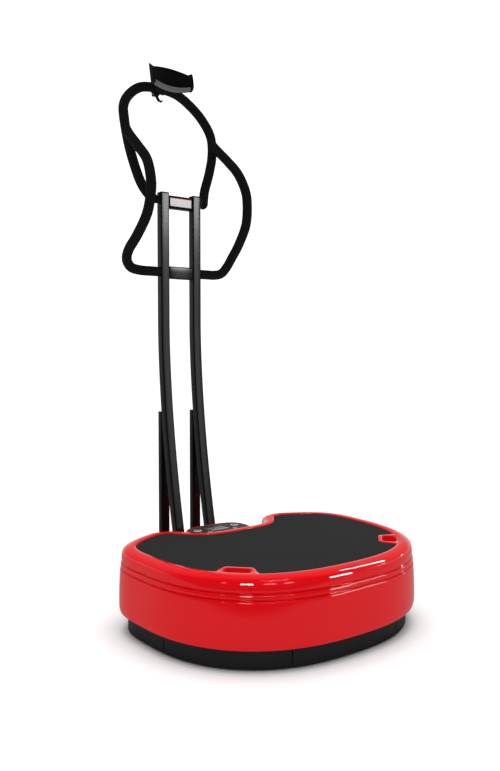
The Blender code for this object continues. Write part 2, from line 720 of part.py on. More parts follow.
def loop_route():
    """The right outer grip: forward and down from the fork, then back under to the upright's side."""
    y = COLUMN_Y
    return [
        Vector((0.1502, y + 0.0490, 1.338)),
        Vector((0.153, y + 0.016, 1.308)),
        Vector((0.155, y - 0.032, 1.269)),
        Vector((0.156, y - 0.082, 1.224)),
        Vector((0.161, y - 0.112, 1.172)),
        Vector((0.164, y - 0.119, 1.128)),
        Vector((0.169, y - 0.106, 1.069)),
        Vector((0.175, y - 0.061, 1.015)),
        Vector((0.179, y - 0.020, 0.980)),
        Vector((0.175, y + 0.002, 0.953)),
        Vector((0.158, y + 0.008, 0.932)),
        Vector((0.130, y + 0.004, 0.925)),
        Vector((0.100, y, 0.924)),
        Vector((BAR_END, y, 0.924)),
    ]


def mirrored(route):
    return [Vector((-p.x, p.y, p.z)) for p in route]


def make_handlebar():
    half = arch_route()
    whole = mirrored(half)[:0:-1] + half
    steps = 52
    arch = add_object("handlebar_arch", tube(whole, BAR_RADIUS, steps), GRIP_BLACK)
    for side, name in ((-1, "left"), (1, "right")):
        upright = front_leg(side * LEG_SPACING / 2, GAP)
        cut(arch, upright.copy())
        route = loop_route() if side > 0 else mirrored(loop_route())
        grip = tube(route, LOOP_RADIUS, 30, start_share=0.9)
        loop = add_object(f"handlebar_grip_{name}", grip, GRIP_BLACK)
        cut(loop, tube(whole, BAR_RADIUS + GAP, steps, sides=24), upright)


# ---- phone holder -------------------------------------------------------------------------------

HOLDER_PIVOT = BAR_TOP + Vector((HOLDER_X, -0.030, 0.010))


def make_holder_clamp():
    """A collar round the arch, with ears in front for the tilting neck and lugs below for the lever."""
    middle = BAR_TOP
    half = Vector((0.0195, 0.0, 0.0))
    collar = cylinder(middle - half, middle + half, 0.0192, sides=24)
    clamp = add_object("holder_clamp", collar, HOLDER_BLACK)
    for side in (-1, 1):
        x = HOLDER_PIVOT.x + side * 0.0088
        ear_low = (x - 0.0025, HOLDER_PIVOT.y - 0.006, HOLDER_PIVOT.z - 0.006)
        join(clamp, box(ear_low, (x + 0.0025, middle.y - 0.010, HOLDER_PIVOT.z + 0.006)))
        y = middle.y + side * 0.0070
        lug_low = (-0.010, y - 0.0020, middle.z - 0.027)
        join(clamp, box(lug_low, (-0.002, y + 0.0020, middle.z - 0.012)))
    boss_low = (-0.0192, middle.y - 0.0095, middle.z - 0.0275)
    join(clamp, rounded_box(boss_low, (-0.0120, middle.y + 0.0095, middle.z - 0.0150), 0.001, 1))
    top_of_arch = mirrored(arch_route())[3:0:-1] + arch_route()[:4]
    cut(clamp, tube(top_of_arch, BAR_RADIUS + GAP, 24))


def make_clamp_lever():
    """A hooked lever that turns about Y between the clamp's two lugs."""
    pivot = BAR_TOP + Vector((-0.006, 0.0, -0.0238))
    points = [(-0.0034, 0.0030), (-0.0034, -0.0050), (0.0050, -0.0165), (0.0160, -0.0190)]
    points += [(0.0215, -0.0135), (0.0190, -0.0115), (0.0148, -0.0148), (0.0095, -0.0135)]
    points += [(0.0034, -0.0040), (0.0034, 0.0030)]
    bm = prism(points, -0.0045, 0.0045)
    bm.transform(Matrix.Translation(pivot) @ Matrix.Rotation(pi / 2, 4, "X"))
    add_object("clamp_lever", bm, HOLDER_BLACK, origin=pivot)


def holder_frame():
    """Puts something drawn in the cradle's plane (X along it, Z up it, -Y its face) in its place."""
    place = Matrix.Translation(HOLDER_PIVOT)
    return place @ Matrix.Rotation(-HOLDER_LEAN, 4, "X")


def make_holder_neck():
    bm = cylinder((-0.0058, 0.0, 0.0), (0.0058, 0.0, 0.0), 0.0062, sides=20)
    bm.transform(holder_frame())
    neck = add_object("holder_neck", bm, HOLDER_BLACK, origin=HOLDER_PIVOT)
    stem = cylinder((0.0, 0.0, 0.0), (0.0, -0.0150, 0.0), 0.0050, sides=20)
    stem.transform(holder_frame())
    plate = cylinder((0.0, -0.0105, 0.0), (0.0, -0.0150, 0.0), 0.0120, sides=24)
    plate.transform(holder_frame())
    join(neck, stem, plate)


CRADLE_END = 0.0660
CRADLE_BOW = 0.010  # how far the plate's ends stand in front of its middle
JAW_THICK = 0.004


def cradle_edge(x, middle, end):
    """Height of a bowed edge of the cradle at a distance from its middle."""
    return middle + (end - middle) * (x / CRADLE_END) ** 2


def bowed_plate(half_length, section):
    """A plate along X that bows forwards at its ends; section gives its (y, z) corners at a distance."""
    steps = 12
    rings = []
    for k in range(steps + 1):
        x = -half_length + 2 * half_length * k / steps
        bow = CRADLE_BOW * (x / CRADLE_END) ** 2
        rings.append([Vector((x, y - bow, z)) for y, z in section(x)])
    bm = bridge(bmesh.new(), rings, close=False)
    bm.transform(holder_frame())
    return bm


def back_plate_section(x):
    low, high = cradle_edge(x, -0.0390, -0.0310), cradle_edge(x, 0.0360, 0.0225)
    return [(-0.0200, low), (-0.0158, low), (-0.0158, high), (-0.0200, high)]


def ledge_section(x):
    low = cradle_edge(x, -0.0395, -0.0320)
    return [(-0.0204, low), (-0.0204, low + 0.0105), (-0.0325, low + 0.0095), (-0.0340, low - 0.0010)]


def jaw_block(inner, outer):
    bm = rounded_box((inner, -0.0405, -0.0320), (outer, -0.0262, 0.0245), 0.0014, 1)
    bm.transform(holder_frame())
    return bm


def make_cradle():
    """The bowed back plate, with the fixed jaw at its left end."""
    plate = bowed_plate(CRADLE_END, back_plate_section)
    cradle = add_object("holder_cradle", plate, HOLDER_BLACK, origin=HOLDER_PIVOT)
    join(cradle, jaw_block(-CRADLE_END - JAW_THICK, -CRADLE_END + 0.002))


def make_jaw():
    """The sliding jaw at the right end, on a rail that runs behind the back plate."""
    inner, outer = CRADLE_END + GAP, CRADLE_END + JAW_THICK + GAP
    origin = holder_frame() @ Vector((CRADLE_END, -0.03, 0.0))
    jaw = add_object("holder_jaw", jaw_block(inner, outer), HOLDER_BLACK, origin=origin)
    arm = box((inner + 0.0002, -0.0300, -0.0055), (outer - 0.0002, -0.0122, 0.0055))
    rail = box((0.0180, -0.0152, -0.0052), (outer - 0.0004, -0.0124, 0.0052))
    for piece in (arm, rail):
        piece.transform(holder_frame())
    join(jaw, arm, rail)


def make_ledge():
    """The grey lip along the cradle's foot that the phone stands on."""
    add_object("holder_ledge", bowed_plate(0.0610, ledge_section), LEDGE_GREY)


def make_clamp_screw():
    """The screw that draws the collar tight, on its left side."""
    start = BAR_TOP + Vector((-0.0196, -0.0030, -0.0225))
    head = cylinder(start, start - Vector((0.0026, 0.0, 0.0)), 0.0036, sides=16)
    add_object("clamp_screw", head, STEEL)


# ---- transport wheels ---------------------------------------------------------------------------


def make_wheels():
    for side, name in ((-1, "left"), (1, "right")):
        middle = Vector((side * WHEEL_X, WHEEL_Y, AXLE_Z))
        inner, outer = Vector((0.0115, 0.0, 0.0)), Vector((0.0105, 0.0, 0.0))
        tyre = cylinder(middle - side * inner, middle + side * outer, WHEEL_RADIUS, sides=28)
        wheel = add_object(f"transport_wheel_{name}", tyre, RUBBER, origin=middle)
        bore = cylinder(middle - 2 * inner, middle + 2 * inner, AXLE_RADIUS + 0.0006, sides=16)
        cut(wheel, bore)


def main():
    clear_scene()
    make_casing()
    make_mat()
    make_deck_plate()
    make_deck_frame()
    for side, name in ((-1, "left"), (1, "right")):
        make_motor(side, name)
    make_base_pan()
    make_base_frame()
    make_column_foot()
    make_feet()
    make_skirt()
    make_rubber_mounts()
    make_control_box()
    make_pod()
    make_panel()
    make_display()
    make_buttons()
    make_board()
    make_power_inlet()
    make_power_switch()
    make_legs()
    make_crossbars()
    make_handlebar()
    make_holder_clamp()
    make_clamp_screw()
    make_clamp_lever()
    make_holder_neck()
    make_cradle()
    make_jaw()
    make_ledge()
    make_wheels()


main()
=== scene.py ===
"""The looks of the vibration plate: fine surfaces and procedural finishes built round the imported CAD.

Metres, +Z up, -Y towards the user, X = 0 the plane of symmetry. A piece stands for a CAD node, or
dresses one, and rides on that node's body. Its sizes are the CAD's, with finer curves and edges.
"""

from math import cos, hypot, pi, radians, sin

import bmesh
import bpy
from mathutils import Matrix, Vector


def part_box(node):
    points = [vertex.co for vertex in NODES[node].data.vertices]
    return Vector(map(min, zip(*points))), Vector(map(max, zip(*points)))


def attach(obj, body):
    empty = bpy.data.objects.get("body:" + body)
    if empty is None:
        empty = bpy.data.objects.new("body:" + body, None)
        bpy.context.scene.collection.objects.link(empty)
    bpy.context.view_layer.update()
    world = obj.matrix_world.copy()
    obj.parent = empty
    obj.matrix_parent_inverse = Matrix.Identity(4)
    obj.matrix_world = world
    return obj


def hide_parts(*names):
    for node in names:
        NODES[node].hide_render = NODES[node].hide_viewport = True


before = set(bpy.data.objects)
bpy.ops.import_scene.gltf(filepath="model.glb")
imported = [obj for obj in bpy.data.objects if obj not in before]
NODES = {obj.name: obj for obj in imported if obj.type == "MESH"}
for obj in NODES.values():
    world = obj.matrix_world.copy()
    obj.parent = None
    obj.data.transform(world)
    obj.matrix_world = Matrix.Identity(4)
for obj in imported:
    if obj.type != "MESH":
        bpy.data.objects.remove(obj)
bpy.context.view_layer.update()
SIDES = ((-1, "left"), (1, "right"))

# ---- driving dimensions ----------------------------------

MAT_LOW, MAT_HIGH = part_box("deck_mat")
CASING_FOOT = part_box("deck_casing")[0].z
SKIRT_LOW, SKIRT_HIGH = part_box("skirt_front")
LEG_LOW, LEG_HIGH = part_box("front_leg_right")
REAR_LOW, REAR_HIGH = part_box("rear_leg_right")
POD_LOW, POD_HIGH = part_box("console_pod")
PANEL_LOW, PANEL_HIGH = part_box("console_panel")
DISPLAY_LOW, DISPLAY_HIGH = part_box("console_display")

MAT_WIDTH = 0.66
MAT_INSET = 0.0004  # the CAD's mat stands this far inside the plan outline
MAT_FRONT = MAT_LOW.y - MAT_INSET
MAT_TOP = MAT_HIGH.z
COARSE_STEPS = 38  # the CAD outline's points on each half
FINE = 4  # curve points to each of them

LEG_SPACING = LEG_LOW.x + LEG_HIGH.x  # from one upright's middle to the other's
LEG_WIDTH = LEG_HIGH.x - LEG_LOW.x
LEG_DEPTH = 0.026
LEG_CORNER = 0.0034
REAR_DEPTH = 0.020
COLUMN_Y = LEG_HIGH.y - LEG_DEPTH / 2
COLUMN_TOP = LEG_HIGH.z
LEG_FOOT = LEG_LOW.z
LEG_SIDE = LEG_SPACING / 2 + LEG_WIDTH / 2  # an upright's outer face
SWEEP_HEIGHT = 0.78  # the front legs sweep forward below this height

POD_Y = (PANEL_LOW.y + PANEL_HIGH.y) / 2
POD_HALF = (0.097, 0.062)
PANEL_TOP = PANEL_HIGH.z

BAR_TOP = Vector((0.0, COLUMN_Y + 0.118, 1.500))  # the middle of the arch
BAR_RADIUS = 0.0144
GRIP_RADIUS = 0.0142
HOLDER_PIVOT = BAR_TOP + Vector((0.008, -0.030, 0.010))
HOLDER_LEAN = 0.20


# ---- camera, light and floor -----------------------------

CAMERA_PLACE = (-1.2429, MAT_FRONT - 1.2771, 0.6938)
CAMERA_YAW = radians(37.0)
CAMERA_PITCH = radians(87.4)
CAMERA_LENS = 36.42

ROOM_LIGHT = (0.40, 0.52)  # how bright the room is, from the horizon to straight above
CEILING_LIGHT = 0.76  # how bright the soft light from above makes white paper
CEILING_SPREAD = radians(50.0)
BACKDROP = 1.2  # how bright the room is behind the object
DARK_SIDE = (-sin(CAMERA_YAW), -cos(CAMERA_YAW))  # the side of the room that gloss sees dark
GLOSS_HORIZON = (-0.20, 0.42)  # where it turns dark, along that direction
GLOSS_ROOM = (0.78, 0.06)  # how bright gloss sees the room before and after that
GLOSS_SKY = (0.04, 0.30)  # the heights between which gloss sees the room grow dim
SKY_DIM = 0.35
PAPER_TONE = 0.92
PAPER_EDGE = (0.85, 1.15)  # how far the white paper reaches towards the dark side
PAPER_GLOSS = (0.30, 0.04)  # its tone in gloss, on the paper and past it
FLOOR_SIZE = 60.0

SHOULDER_LEFT = (-0.26, -0.37, 0.19)
SHOULDER_MIDDLE = (-0.05, -0.44, 0.19)
COLUMN_HEAD = (-0.05, 0.30, 1.10)
# each softbox: what it lights, its bearing and rise in degrees, distance, width, height, brightness
CASING_SOFTBOXES = [
    (SHOULDER_LEFT, -137.0, 7.0, 2.60, 0.56, 0.42, 26.0),
    (SHOULDER_LEFT, -160.0, 8.0, 2.60, 0.56, 0.16, 10.0),
    (SHOULDER_LEFT, -177.0, 8.0, 2.60, 0.34, 0.16, 10.0),
    (SHOULDER_LEFT, -113.0, 10.0, 2.60, 0.20, 0.10, 20.0),
    (SHOULDER_MIDDLE, 146.0, 6.0, 2.60, 0.60, 0.42, 30.0),
    (SHOULDER_LEFT, 180.0, 68.0, 2.70, 1.00, 0.08, 30.0),
    (SHOULDER_MIDDLE, 96.0, 43.0, 2.90, 0.16, 0.90, 50.0),
    (SHOULDER_MIDDLE, 122.0, 8.0, 2.90, 0.30, 0.10, 14.0),
    (SHOULDER_MIDDLE, 93.0, 12.0, 2.90, 0.14, 0.20, 40.0),
]
COLUMN_SOFTBOXES = [
    (COLUMN_HEAD, 148.0, 16.0, 2.60, 0.90, 0.70, 22.0),
    (COLUMN_HEAD, 148.0, 0.0, 2.60, 0.80, 1.10, 2.6),
]


def add_object(name, data):
    """A new object in the scene."""
    made = bpy.data.objects.new(name, data)
    bpy.context.scene.collection.objects.link(made)
    return made


def add_camera():
    """The photo's own view, from the front left at standing height."""
    data = bpy.data.cameras.new("camera")
    data.lens = CAMERA_LENS
    data.sensor_width = 36.0
    camera = add_object("camera", data)
    camera.location = CAMERA_PLACE
    camera.rotation_euler = (CAMERA_PITCH, 0.0, -CAMERA_YAW)
    bpy.context.scene.camera = camera


def add_softbox(lit, target, bearing, rise, distance, width, height, radiance):
    """A rectangular softbox, which puts a highlight on one group of pieces."""
    data = bpy.data.lights.new("softbox", "AREA")
    data.shape = "RECTANGLE"
    data.size = width
    data.size_y = height
    data.energy = radiance * pi * width * height
    light = add_object("softbox", data)
    flat = cos(radians(rise))
    way = Vector((sin(radians(bearing)) * flat, cos(radians(bearing)) * flat, sin(radians(rise))))
    light.location = Vector(target) + distance * way
    light.rotation_euler = (-way).to_track_quat("-Z", "Y").to_euler()
    light.visible_diffuse = False
    light.light_linking.receiver_collection = lit


def light_pieces(group, names, softboxes):
    """Lights only the named pieces with those softboxes."""
    lit = bpy.data.collections.new(group)
    for name in names:
        lit.objects.link(bpy.data.objects[name])
    for softbox in softboxes:
        add_softbox(lit, *softbox)


def add_ceiling():
    """The soft light from above, which pools the shadow round the skirt."""
    data = bpy.data.lights.new("ceiling", "SUN")
    data.energy = CEILING_LIGHT * pi
    data.angle = CEILING_SPREAD
    light = add_object("ceiling", data)
    light.location = (0.0, 0.0, 3.0)
    light.visible_glossy = False


def put(tree, node, inputs):
    """Gives a node's inputs their values, or links them to other nodes' outputs."""
    for key, value in inputs.items():
        if isinstance(value, bpy.types.NodeSocket):
            tree.links.new(value, node.inputs[key])
        else:
            node.inputs[key].default_value = value


def add_node(tree, kind, inputs=None, **settings):
    """A new shader node, with its settings and inputs."""
    node = tree.nodes.new(f"ShaderNode{kind}")
    for key, value in settings.items():
        setattr(node, key, value)
    put(tree, node, inputs or {})
    return node


def ramp(tree, value, ends, values, kind="LINEAR"):
    """A value carried over from one range to another."""
    inputs = dict(zip(("Value", "From Min", "From Max", "To Min", "To Max"), (value, *ends, *values)))
    return add_node(tree, "MapRange", inputs, interpolation_type=kind).outputs["Result"]


def direction_ramp(tree, direction, axis, ends, values):
    """A smooth step from one value to another along a direction."""
    along = add_node(tree, "VectorMath", {0: direction, 1: axis}, operation="DOT_PRODUCT")
    return ramp(tree, along.outputs["Value"], ends, values, "SMOOTHSTEP")


def mix(tree, factor, without, given, kind="FLOAT"):
    """One value where the factor is 0, and another where it is 1."""
    inputs = {"Factor": factor, "A": without, "B": given}
    return add_node(tree, "Mix", inputs, data_type=kind).outputs["Result"]


def add_world():
    """A white room, which gloss sees as dark on one side and dim above."""
    world = bpy.data.worlds.new("studio")
    bpy.context.scene.world = world
    world.use_nodes = True
    tree = world.node_tree
    direction = add_node(tree, "TexCoord").outputs["Generated"]
    upwards = (0.0, 0.0, 1.0)
    room = direction_ramp(tree, direction, (*DARK_SIDE, 0.25), GLOSS_HORIZON, GLOSS_ROOM)
    diffuse = direction_ramp(tree, direction, upwards, (-0.2, 1.0), ROOM_LIGHT)
    sky = direction_ramp(tree, direction, upwards, GLOSS_SKY, (1.0, SKY_DIM))
    glossy = add_node(tree, "Math", {0: room, 1: sky}, operation="MULTIPLY")
    seen = add_node(tree, "LightPath").outputs
    strength = mix(tree, seen["Is Glossy Ray"], diffuse, glossy.outputs["Value"])
    strength = mix(tree, seen["Is Camera Ray"], strength, BACKDROP)
    put(tree, tree.nodes["Background"], {"Strength": strength, "Color": (1.0, 1.0, 1.0, 1.0)})


def new_material(name):
    """A material and its node tree."""
    made = bpy.data.materials.new(name)
    made.use_nodes = True
    return made, made.node_tree


def floor_white():
    """White paper; gloss sees it a little grey, and dark past the paper's front edge."""
    made, tree = new_material("floor_white")
    place = add_node(tree, "TexCoord").outputs["Object"]
    paper = direction_ramp(tree, place, (*DARK_SIDE, 0.0), PAPER_EDGE, PAPER_GLOSS)
    seen = add_node(tree, "LightPath").outputs
    tone = mix(tree, seen["Is Glossy Ray"], PAPER_TONE, paper)
    grey = add_node(tree, "CombineColor", {"Red": tone, "Green": tone, "Blue": tone}).outputs["Color"]
    inputs = {"Base Color": grey, "Roughness": 0.9, "Specular IOR Level": 0.0}
    put(tree, tree.nodes["Principled BSDF"], inputs)
    return made


def add_studio():
    """The room, its overhead light and the floor."""
    bpy.context.scene.view_settings.view_transform = "Standard"
    add_world()
    add_ceiling()
    bm = bmesh.new()
    bmesh.ops.create_grid(bm, x_segments=8, y_segments=8, size=FLOOR_SIZE)
    mesh = bpy.data.meshes.new("floor")
    bm.to_mesh(mesh)
    bm.free()
    floor = add_object("floor", mesh)
    floor.data.materials.append(floor_white())


# ---- finishes --------------------------------------------


def look(name, dark, light, roughness, grain, depth, metallic=0.0, coat=0.0, specular=0.5, cells=False,
         stretch=(1.0, 1.0, 1.0), edge=0.0):
    """A procedural finish: a grain of that many features to the metre sets colour, roughness and bump.

    The colour runs from dark to light, and roughness is its two ends. The bump is depth high, in
    rounded cells if asked. Stretch scales the grain on each axis, and edge paints a highlight: a lighter
    colour on convex edges.
    """
    made, tree = new_material(name)
    place = add_node(tree, "TexCoord").outputs["Object"]
    place = add_node(tree, "Mapping", {"Vector": place, "Scale": stretch}).outputs["Vector"]
    texture = {"Vector": place, "Scale": grain, "Detail": 5.0, "Roughness": 0.6}
    noise = add_node(tree, "TexNoise", texture).outputs["Fac"]
    shown = mix(tree, noise, (*dark, 1.0), (*light, 1.0), "RGBA")
    # painted highlight: the convex edges get a lighter colour
    if edge:
        shown = painted_edge_highlights(tree, shown, light, edge)
    inputs = {"Base Color": shown, "Roughness": ramp(tree, noise, (0.0, 1.0), roughness)}
    if depth:
        inputs["Normal"] = bump(tree, place, noise, grain, depth, cells)
    inputs |= {"Metallic": metallic, "Specular IOR Level": specular}
    inputs |= {"Coat Weight": coat, "Coat Roughness": 0.02}
    put(tree, tree.nodes["Principled BSDF"], inputs)
    return made


def painted_edge_highlights(tree, colour, light, amount):
    """Paints a highlight on the convex edges: a lighter colour where the surface is pointed."""
    pointed = add_node(tree, "NewGeometry").outputs["Pointiness"]
    highlight_tone = (*[min(3.5 * value + 0.02, 0.9) for value in light], 1.0)
    return mix(tree, ramp(tree, pointed, (0.52, 0.62), (0.0, amount)), colour, highlight_tone, "RGBA")


def bump(tree, place, height, grain, depth, cells):
    """The raised grain, or round cells of the same size in its place."""
    if cells:
        height = add_node(tree, "TexVoronoi", {"Vector": place, "Scale": grain}).outputs["Distance"]
    return add_node(tree, "Bump", {"Height": height, "Distance": depth, "Strength": 0.8}).outputs["Normal"]


# one for each material slot of the record, and one for printed marks
LOOKS = {
    "red_gloss": look("gloss_red", (0.73, 0.003, 0.007), (0.78, 0.004, 0.008), (0.45, 0.55), 18.0, 0.0,
        coat=1.0, specular=0.0),
    "mat_rubber": look("mat_rubber", (0.0165, 0.0175, 0.0175), (0.0315, 0.0325, 0.0315), (0.82, 0.97),
        900.0, 0.0006, specular=0.12, cells=True),
    "skirt_plastic": look("skirt_moulding", (0.012, 0.0125, 0.014), (0.017, 0.018, 0.019), (0.38, 0.50),
        420.0, 0.00005, specular=0.2),
    "powder_coat": look("black_powder_coat", (0.003, 0.003, 0.003), (0.006, 0.006, 0.007), (0.17, 0.24),
        700.0, 0.00002, specular=0.2),
    "grip_foam": look("foam_sleeve", (0.004, 0.004, 0.004), (0.008, 0.008, 0.008), (0.72, 0.92), 1400.0,
        0.0003, specular=0.15, cells=True),
    # edge paints a highlight along the holder's convex edges
    "holder_plastic": look("holder_moulding", (0.003, 0.003, 0.004), (0.006, 0.006, 0.007), (0.30, 0.44),
        500.0, 0.00005, specular=0.10, edge=0.3),
    "ledge_grey": look("ledge_rubber", (0.07, 0.07, 0.075), (0.15, 0.15, 0.155), (0.45, 0.60), 600.0,
        0.0001),
    "panel_grey": look("console_film", (0.022, 0.023, 0.023), (0.03, 0.031, 0.031), (0.35, 0.45), 250.0,
        0.00002, specular=0.12),
    "display_lens": look("display_glass", (0.08, 0.085, 0.085), (0.11, 0.115, 0.115), (0.20, 0.30), 60.0,
        0.0, specular=0.2),
    "button_silver": look("key_film", (0.028, 0.030, 0.030), (0.036, 0.038, 0.038), (0.35, 0.45), 300.0,
        0.00003, specular=0.15),
    "print_light": look("light_print", (0.62, 0.63, 0.62), (0.74, 0.75, 0.74), (0.35, 0.5), 400.0, 0.00002),
    "nameplate_satin": look("plate_satin", (0.92, 0.90, 0.90), (0.97, 0.95, 0.95), (0.25, 0.40), 500.0,
        0.00002, metallic=0.1, stretch=(1.0, 8.0, 8.0)),
    "bare_steel": look("zinc_steel", (0.36, 0.37, 0.38), (0.52, 0.53, 0.54), (0.28, 0.48), 260.0, 0.00004,
        metallic=1.0, stretch=(1.0, 1.0, 0.2)),
    # edge paints a highlight along the frame's convex edges
    "frame_paint": look("frame_primer", (0.030, 0.030, 0.032), (0.055, 0.055, 0.058), (0.45, 0.60), 240.0,
        0.00008, edge=0.3),
    "motor_paint": look("motor_enamel", (0.11, 0.12, 0.13), (0.17, 0.18, 0.19), (0.38, 0.52), 180.0,
        0.00008),
    "weight_iron": look("cast_iron", (0.05, 0.05, 0.05), (0.13, 0.125, 0.12), (0.50, 0.72), 320.0, 0.0002,
        metallic=0.8),
    "rubber": look("black_rubber", (0.010, 0.010, 0.010), (0.018, 0.018, 0.018), (0.70, 0.88), 500.0,
        0.0001),
    "box_plastic": look("dark_moulding", (0.012, 0.012, 0.013), (0.022, 0.022, 0.024), (0.35, 0.50),
        400.0, 0.00006),
    "circuit_board": look("solder_mask", (0.006, 0.07, 0.025), (0.012, 0.13, 0.05), (0.30, 0.50), 140.0,
        0.00005),
}


# ---- mesh helpers ----------------------------------------

# the angle between two faces, in radians, above which the edge between them is shaded sharp
CRISP = 0.6
HOLDER_CRISP = 0.7
SOFT = 0.9


def shade(piece, sharp):
    piece.data.shade_smooth()
    piece.data.set_sharp_from_angle(angle=sharp)


def add_closed(name, bm):
    """An object made of a closed bmesh, its faces outwards."""
    bmesh.ops.recalc_face_normals(bm, faces=bm.faces)
    if bm.calc_volume(signed=True) < 0:
        bmesh.ops.reverse_faces(bm, faces=bm.faces)
    mesh = bpy.data.meshes.new(name)
    bm.to_mesh(mesh)
    bm.free()
    return add_object(name, mesh)


def add_piece(name, bm, slot, body, replaces=(), sharp=CRISP, shown=None, second=None):
    """A finished piece that rides on a body.

    Its look is its slot's, or the shown one; faces marked 1 get the second look.
    """
    bmesh.ops.remove_doubles(bm, verts=bm.verts, dist=1e-6)
    piece = add_closed(name, bm)
    piece.data.materials.append(LOOKS[shown or slot])
    if second:
        piece.data.materials.append(LOOKS[second])
    shade(piece, sharp)
    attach(piece, body)
    if replaces:
        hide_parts(*replaces)
    return piece


def apply_modifiers(piece):
    """Puts the modifiers' result into the piece's mesh."""
    graph = bpy.context.evaluated_depsgraph_get()
    mesh = bpy.data.meshes.new_from_object(piece.evaluated_get(graph))
    piece.modifiers.clear()
    piece.data = mesh


def carve(piece, *tools, operation="DIFFERENCE", sharp=CRISP):
    """Cuts closed bmeshes out of a piece, or joins them to it."""
    for bm in tools:
        tool = add_closed("tool", bm)
        step = piece.modifiers.new("carve", "BOOLEAN")
        step.operation = operation
        step.object = tool
        apply_modifiers(piece)
        bpy.data.objects.remove(tool)
    shade(piece, sharp)


def stack(levels):
    """Level rings from (contour, height) pairs."""
    return [[Vector((x, y, height)) for x, y in points] for points, height in levels]


def join_rows(bm, rows):
    """Faces between each ring of vertices and the next."""
    for first, second in zip(rows, rows[1:]):
        for i in range(len(first)):
            j = (i + 1) % len(first)
            bm.faces.new((first[i], first[j], second[j], second[i]))


def skin(rings, closed=False):
    """Skins a row of equal rings: closed into a loop, or capped at both ends."""
    bm = bmesh.new()
    rows = [[bm.verts.new(point) for point in ring] for ring in rings]
    join_rows(bm, rows + rows[:1] if closed else rows)
    if not closed:
        bm.faces.new(rows[0])
        bm.faces.new(rows[-1])
    return bm


def catmull_span(a, b, c, d, steps):
    """Points on a smooth curve from b towards c, which comes from a and leaves for d."""
    square, cube = 2 * a - 5 * b + 4 * c - d, 3 * b - a - 3 * c + d
    shares = [k / steps for k in range(steps)]
    return [0.5 * (2 * b + (c - a) * t + square * t**2 + cube * t**3) for t in shares]


def catmull(points, steps):
    """A smooth open curve through points, with that many steps between them."""
    points = [Vector(point) for point in points]
    ends = [2 * points[0] - points[1], *points, 2 * points[-1] - points[-2]]
    curve = []
    for a, b, c, d in zip(ends, ends[1:], ends[2:], ends[3:]):
        curve += catmull_span(a, b, c, d, steps)
    return curve + [points[-1]]


def closed_catmull(points, steps):
    count = len(points)
    curve = []
    for i in range(count):
        curve += catmull_span(*(points[(i + k) % count] for k in (-1, 0, 1, 2)), steps)
    return curve


def even_steps(curve, count):
    """The curve's points moved to even steps along it."""
    runs = [0.0]
    for a, b in zip(curve, curve[1:]):
        runs.append(runs[-1] + (b - a).length)
    result = []
    k = 0
    for i in range(count + 1):
        want = runs[-1] * i / count
        while k < len(runs) - 2 and runs[k + 1] < want:
            k += 1
        share = (want - runs[k]) / max(runs[k + 1] - runs[k], 1e-12)
        result.append(curve[k].lerp(curve[k + 1], min(share, 1.0)))
    return result


def ring_turns(sides):
    """Even angles round a circle."""
    return [2 * pi * k / sides for k in range(sides)]


def box(low, high, radius=0.0, segments=3):
    """A box between two corners, its edges rounded to a radius."""
    bm = bmesh.new()
    bmesh.ops.create_cube(bm, size=1.0)
    middle = (Vector(low) + Vector(high)) / 2
    size = Vector(high) - Vector(low)
    for corner in bm.verts:
        corner.co = Vector(c * s for c, s in zip(corner.co, size)) + middle
    if radius:
        bmesh.ops.bevel(bm, geom=bm.edges[:], offset=radius, segments=segments, affect="EDGES", profile=0.5)
    return bm


def lathe(profile, sides=64):
    """A solid turned round Z from (radius, height) points, the first and last on the axis."""
    bm = bmesh.new()
    rows = []
    for radius, height in profile[1:-1]:
        rows.append([bm.verts.new((radius * cos(a), radius * sin(a), height)) for a in ring_turns(sides)])
    join_rows(bm, rows)
    for row, height in ((rows[0], profile[0][1]), (rows[-1], profile[-1][1])):
        middle = bm.verts.new((0.0, 0.0, height))
        for i in range(sides):
            bm.faces.new((row[i], row[(i + 1) % sides], middle))
    return bm


def arc(middle, radius, start, end, steps=5):
    """Points along an arc in degrees, as (x, y) pairs."""
    turns = [radians(start + (end - start) * k / steps) for k in range(steps + 1)]
    return [(middle[0] + radius * cos(a), middle[1] + radius * sin(a)) for a in turns]


def rounded_rectangle(half_x, half_y, radius, steps=5):
    points = []
    for quarter in range(4):
        sx = 1 if quarter in (0, 3) else -1
        sy = 1 if quarter in (0, 1) else -1
        middle = (sx * (half_x - radius), sy * (half_y - radius))
        points += arc(middle, radius, 90 * quarter, 90 * quarter + 90, steps)
    return points


def superellipse(half_x, half_y, middle_y, exponent=2.8, count=128):
    points = []
    for a in ring_turns(count):
        x = half_x * abs(cos(a)) ** (2 / exponent) * (1 if cos(a) >= 0 else -1)
        y = half_y * abs(sin(a)) ** (2 / exponent) * (1 if sin(a) >= 0 else -1)
        points.append((x, middle_y + y))
    return points


def tube_rings(path, radius, sides=32):
    """Round rings along a path of points, without a twist."""
    side = Vector((0.0, 1.0, 0.3)).normalized()
    rings = []
    last = len(path) - 1
    for i, middle in enumerate(path):
        along = (path[min(i + 1, last)] - path[max(i - 1, 0)]).normalized()
        side = (side - along * side.dot(along)).normalized()
        across = along.cross(side)
        rings.append([middle + radius * (side * cos(a) + across * sin(a)) for a in ring_turns(sides)])
    return rings


def refined(name, node, slot, body, bevel, segments=3, sharp=0.5):
    """A piece with a CAD node's own shape, its edges rounded by the bevel."""
    bm = bmesh.new()
    bm.from_mesh(NODES[node].data)
    bmesh.ops.remove_doubles(bm, verts=bm.verts, dist=2e-6)
    bmesh.ops.dissolve_limit(bm, angle_limit=radians(3.0), verts=bm.verts, edges=bm.edges)
    piece = add_piece(name, bm, slot, body, (node,), sharp)
    step = piece.modifiers.new("round", "BEVEL")
    step.width = bevel
    step.segments = segments
    step.limit_method = "ANGLE"
    step.angle_limit = radians(28.0)
    step.use_clamp_overlap = True
    apply_modifiers(piece)
    shade(piece, sharp)


# ---- the platform's plan outline -------------------------


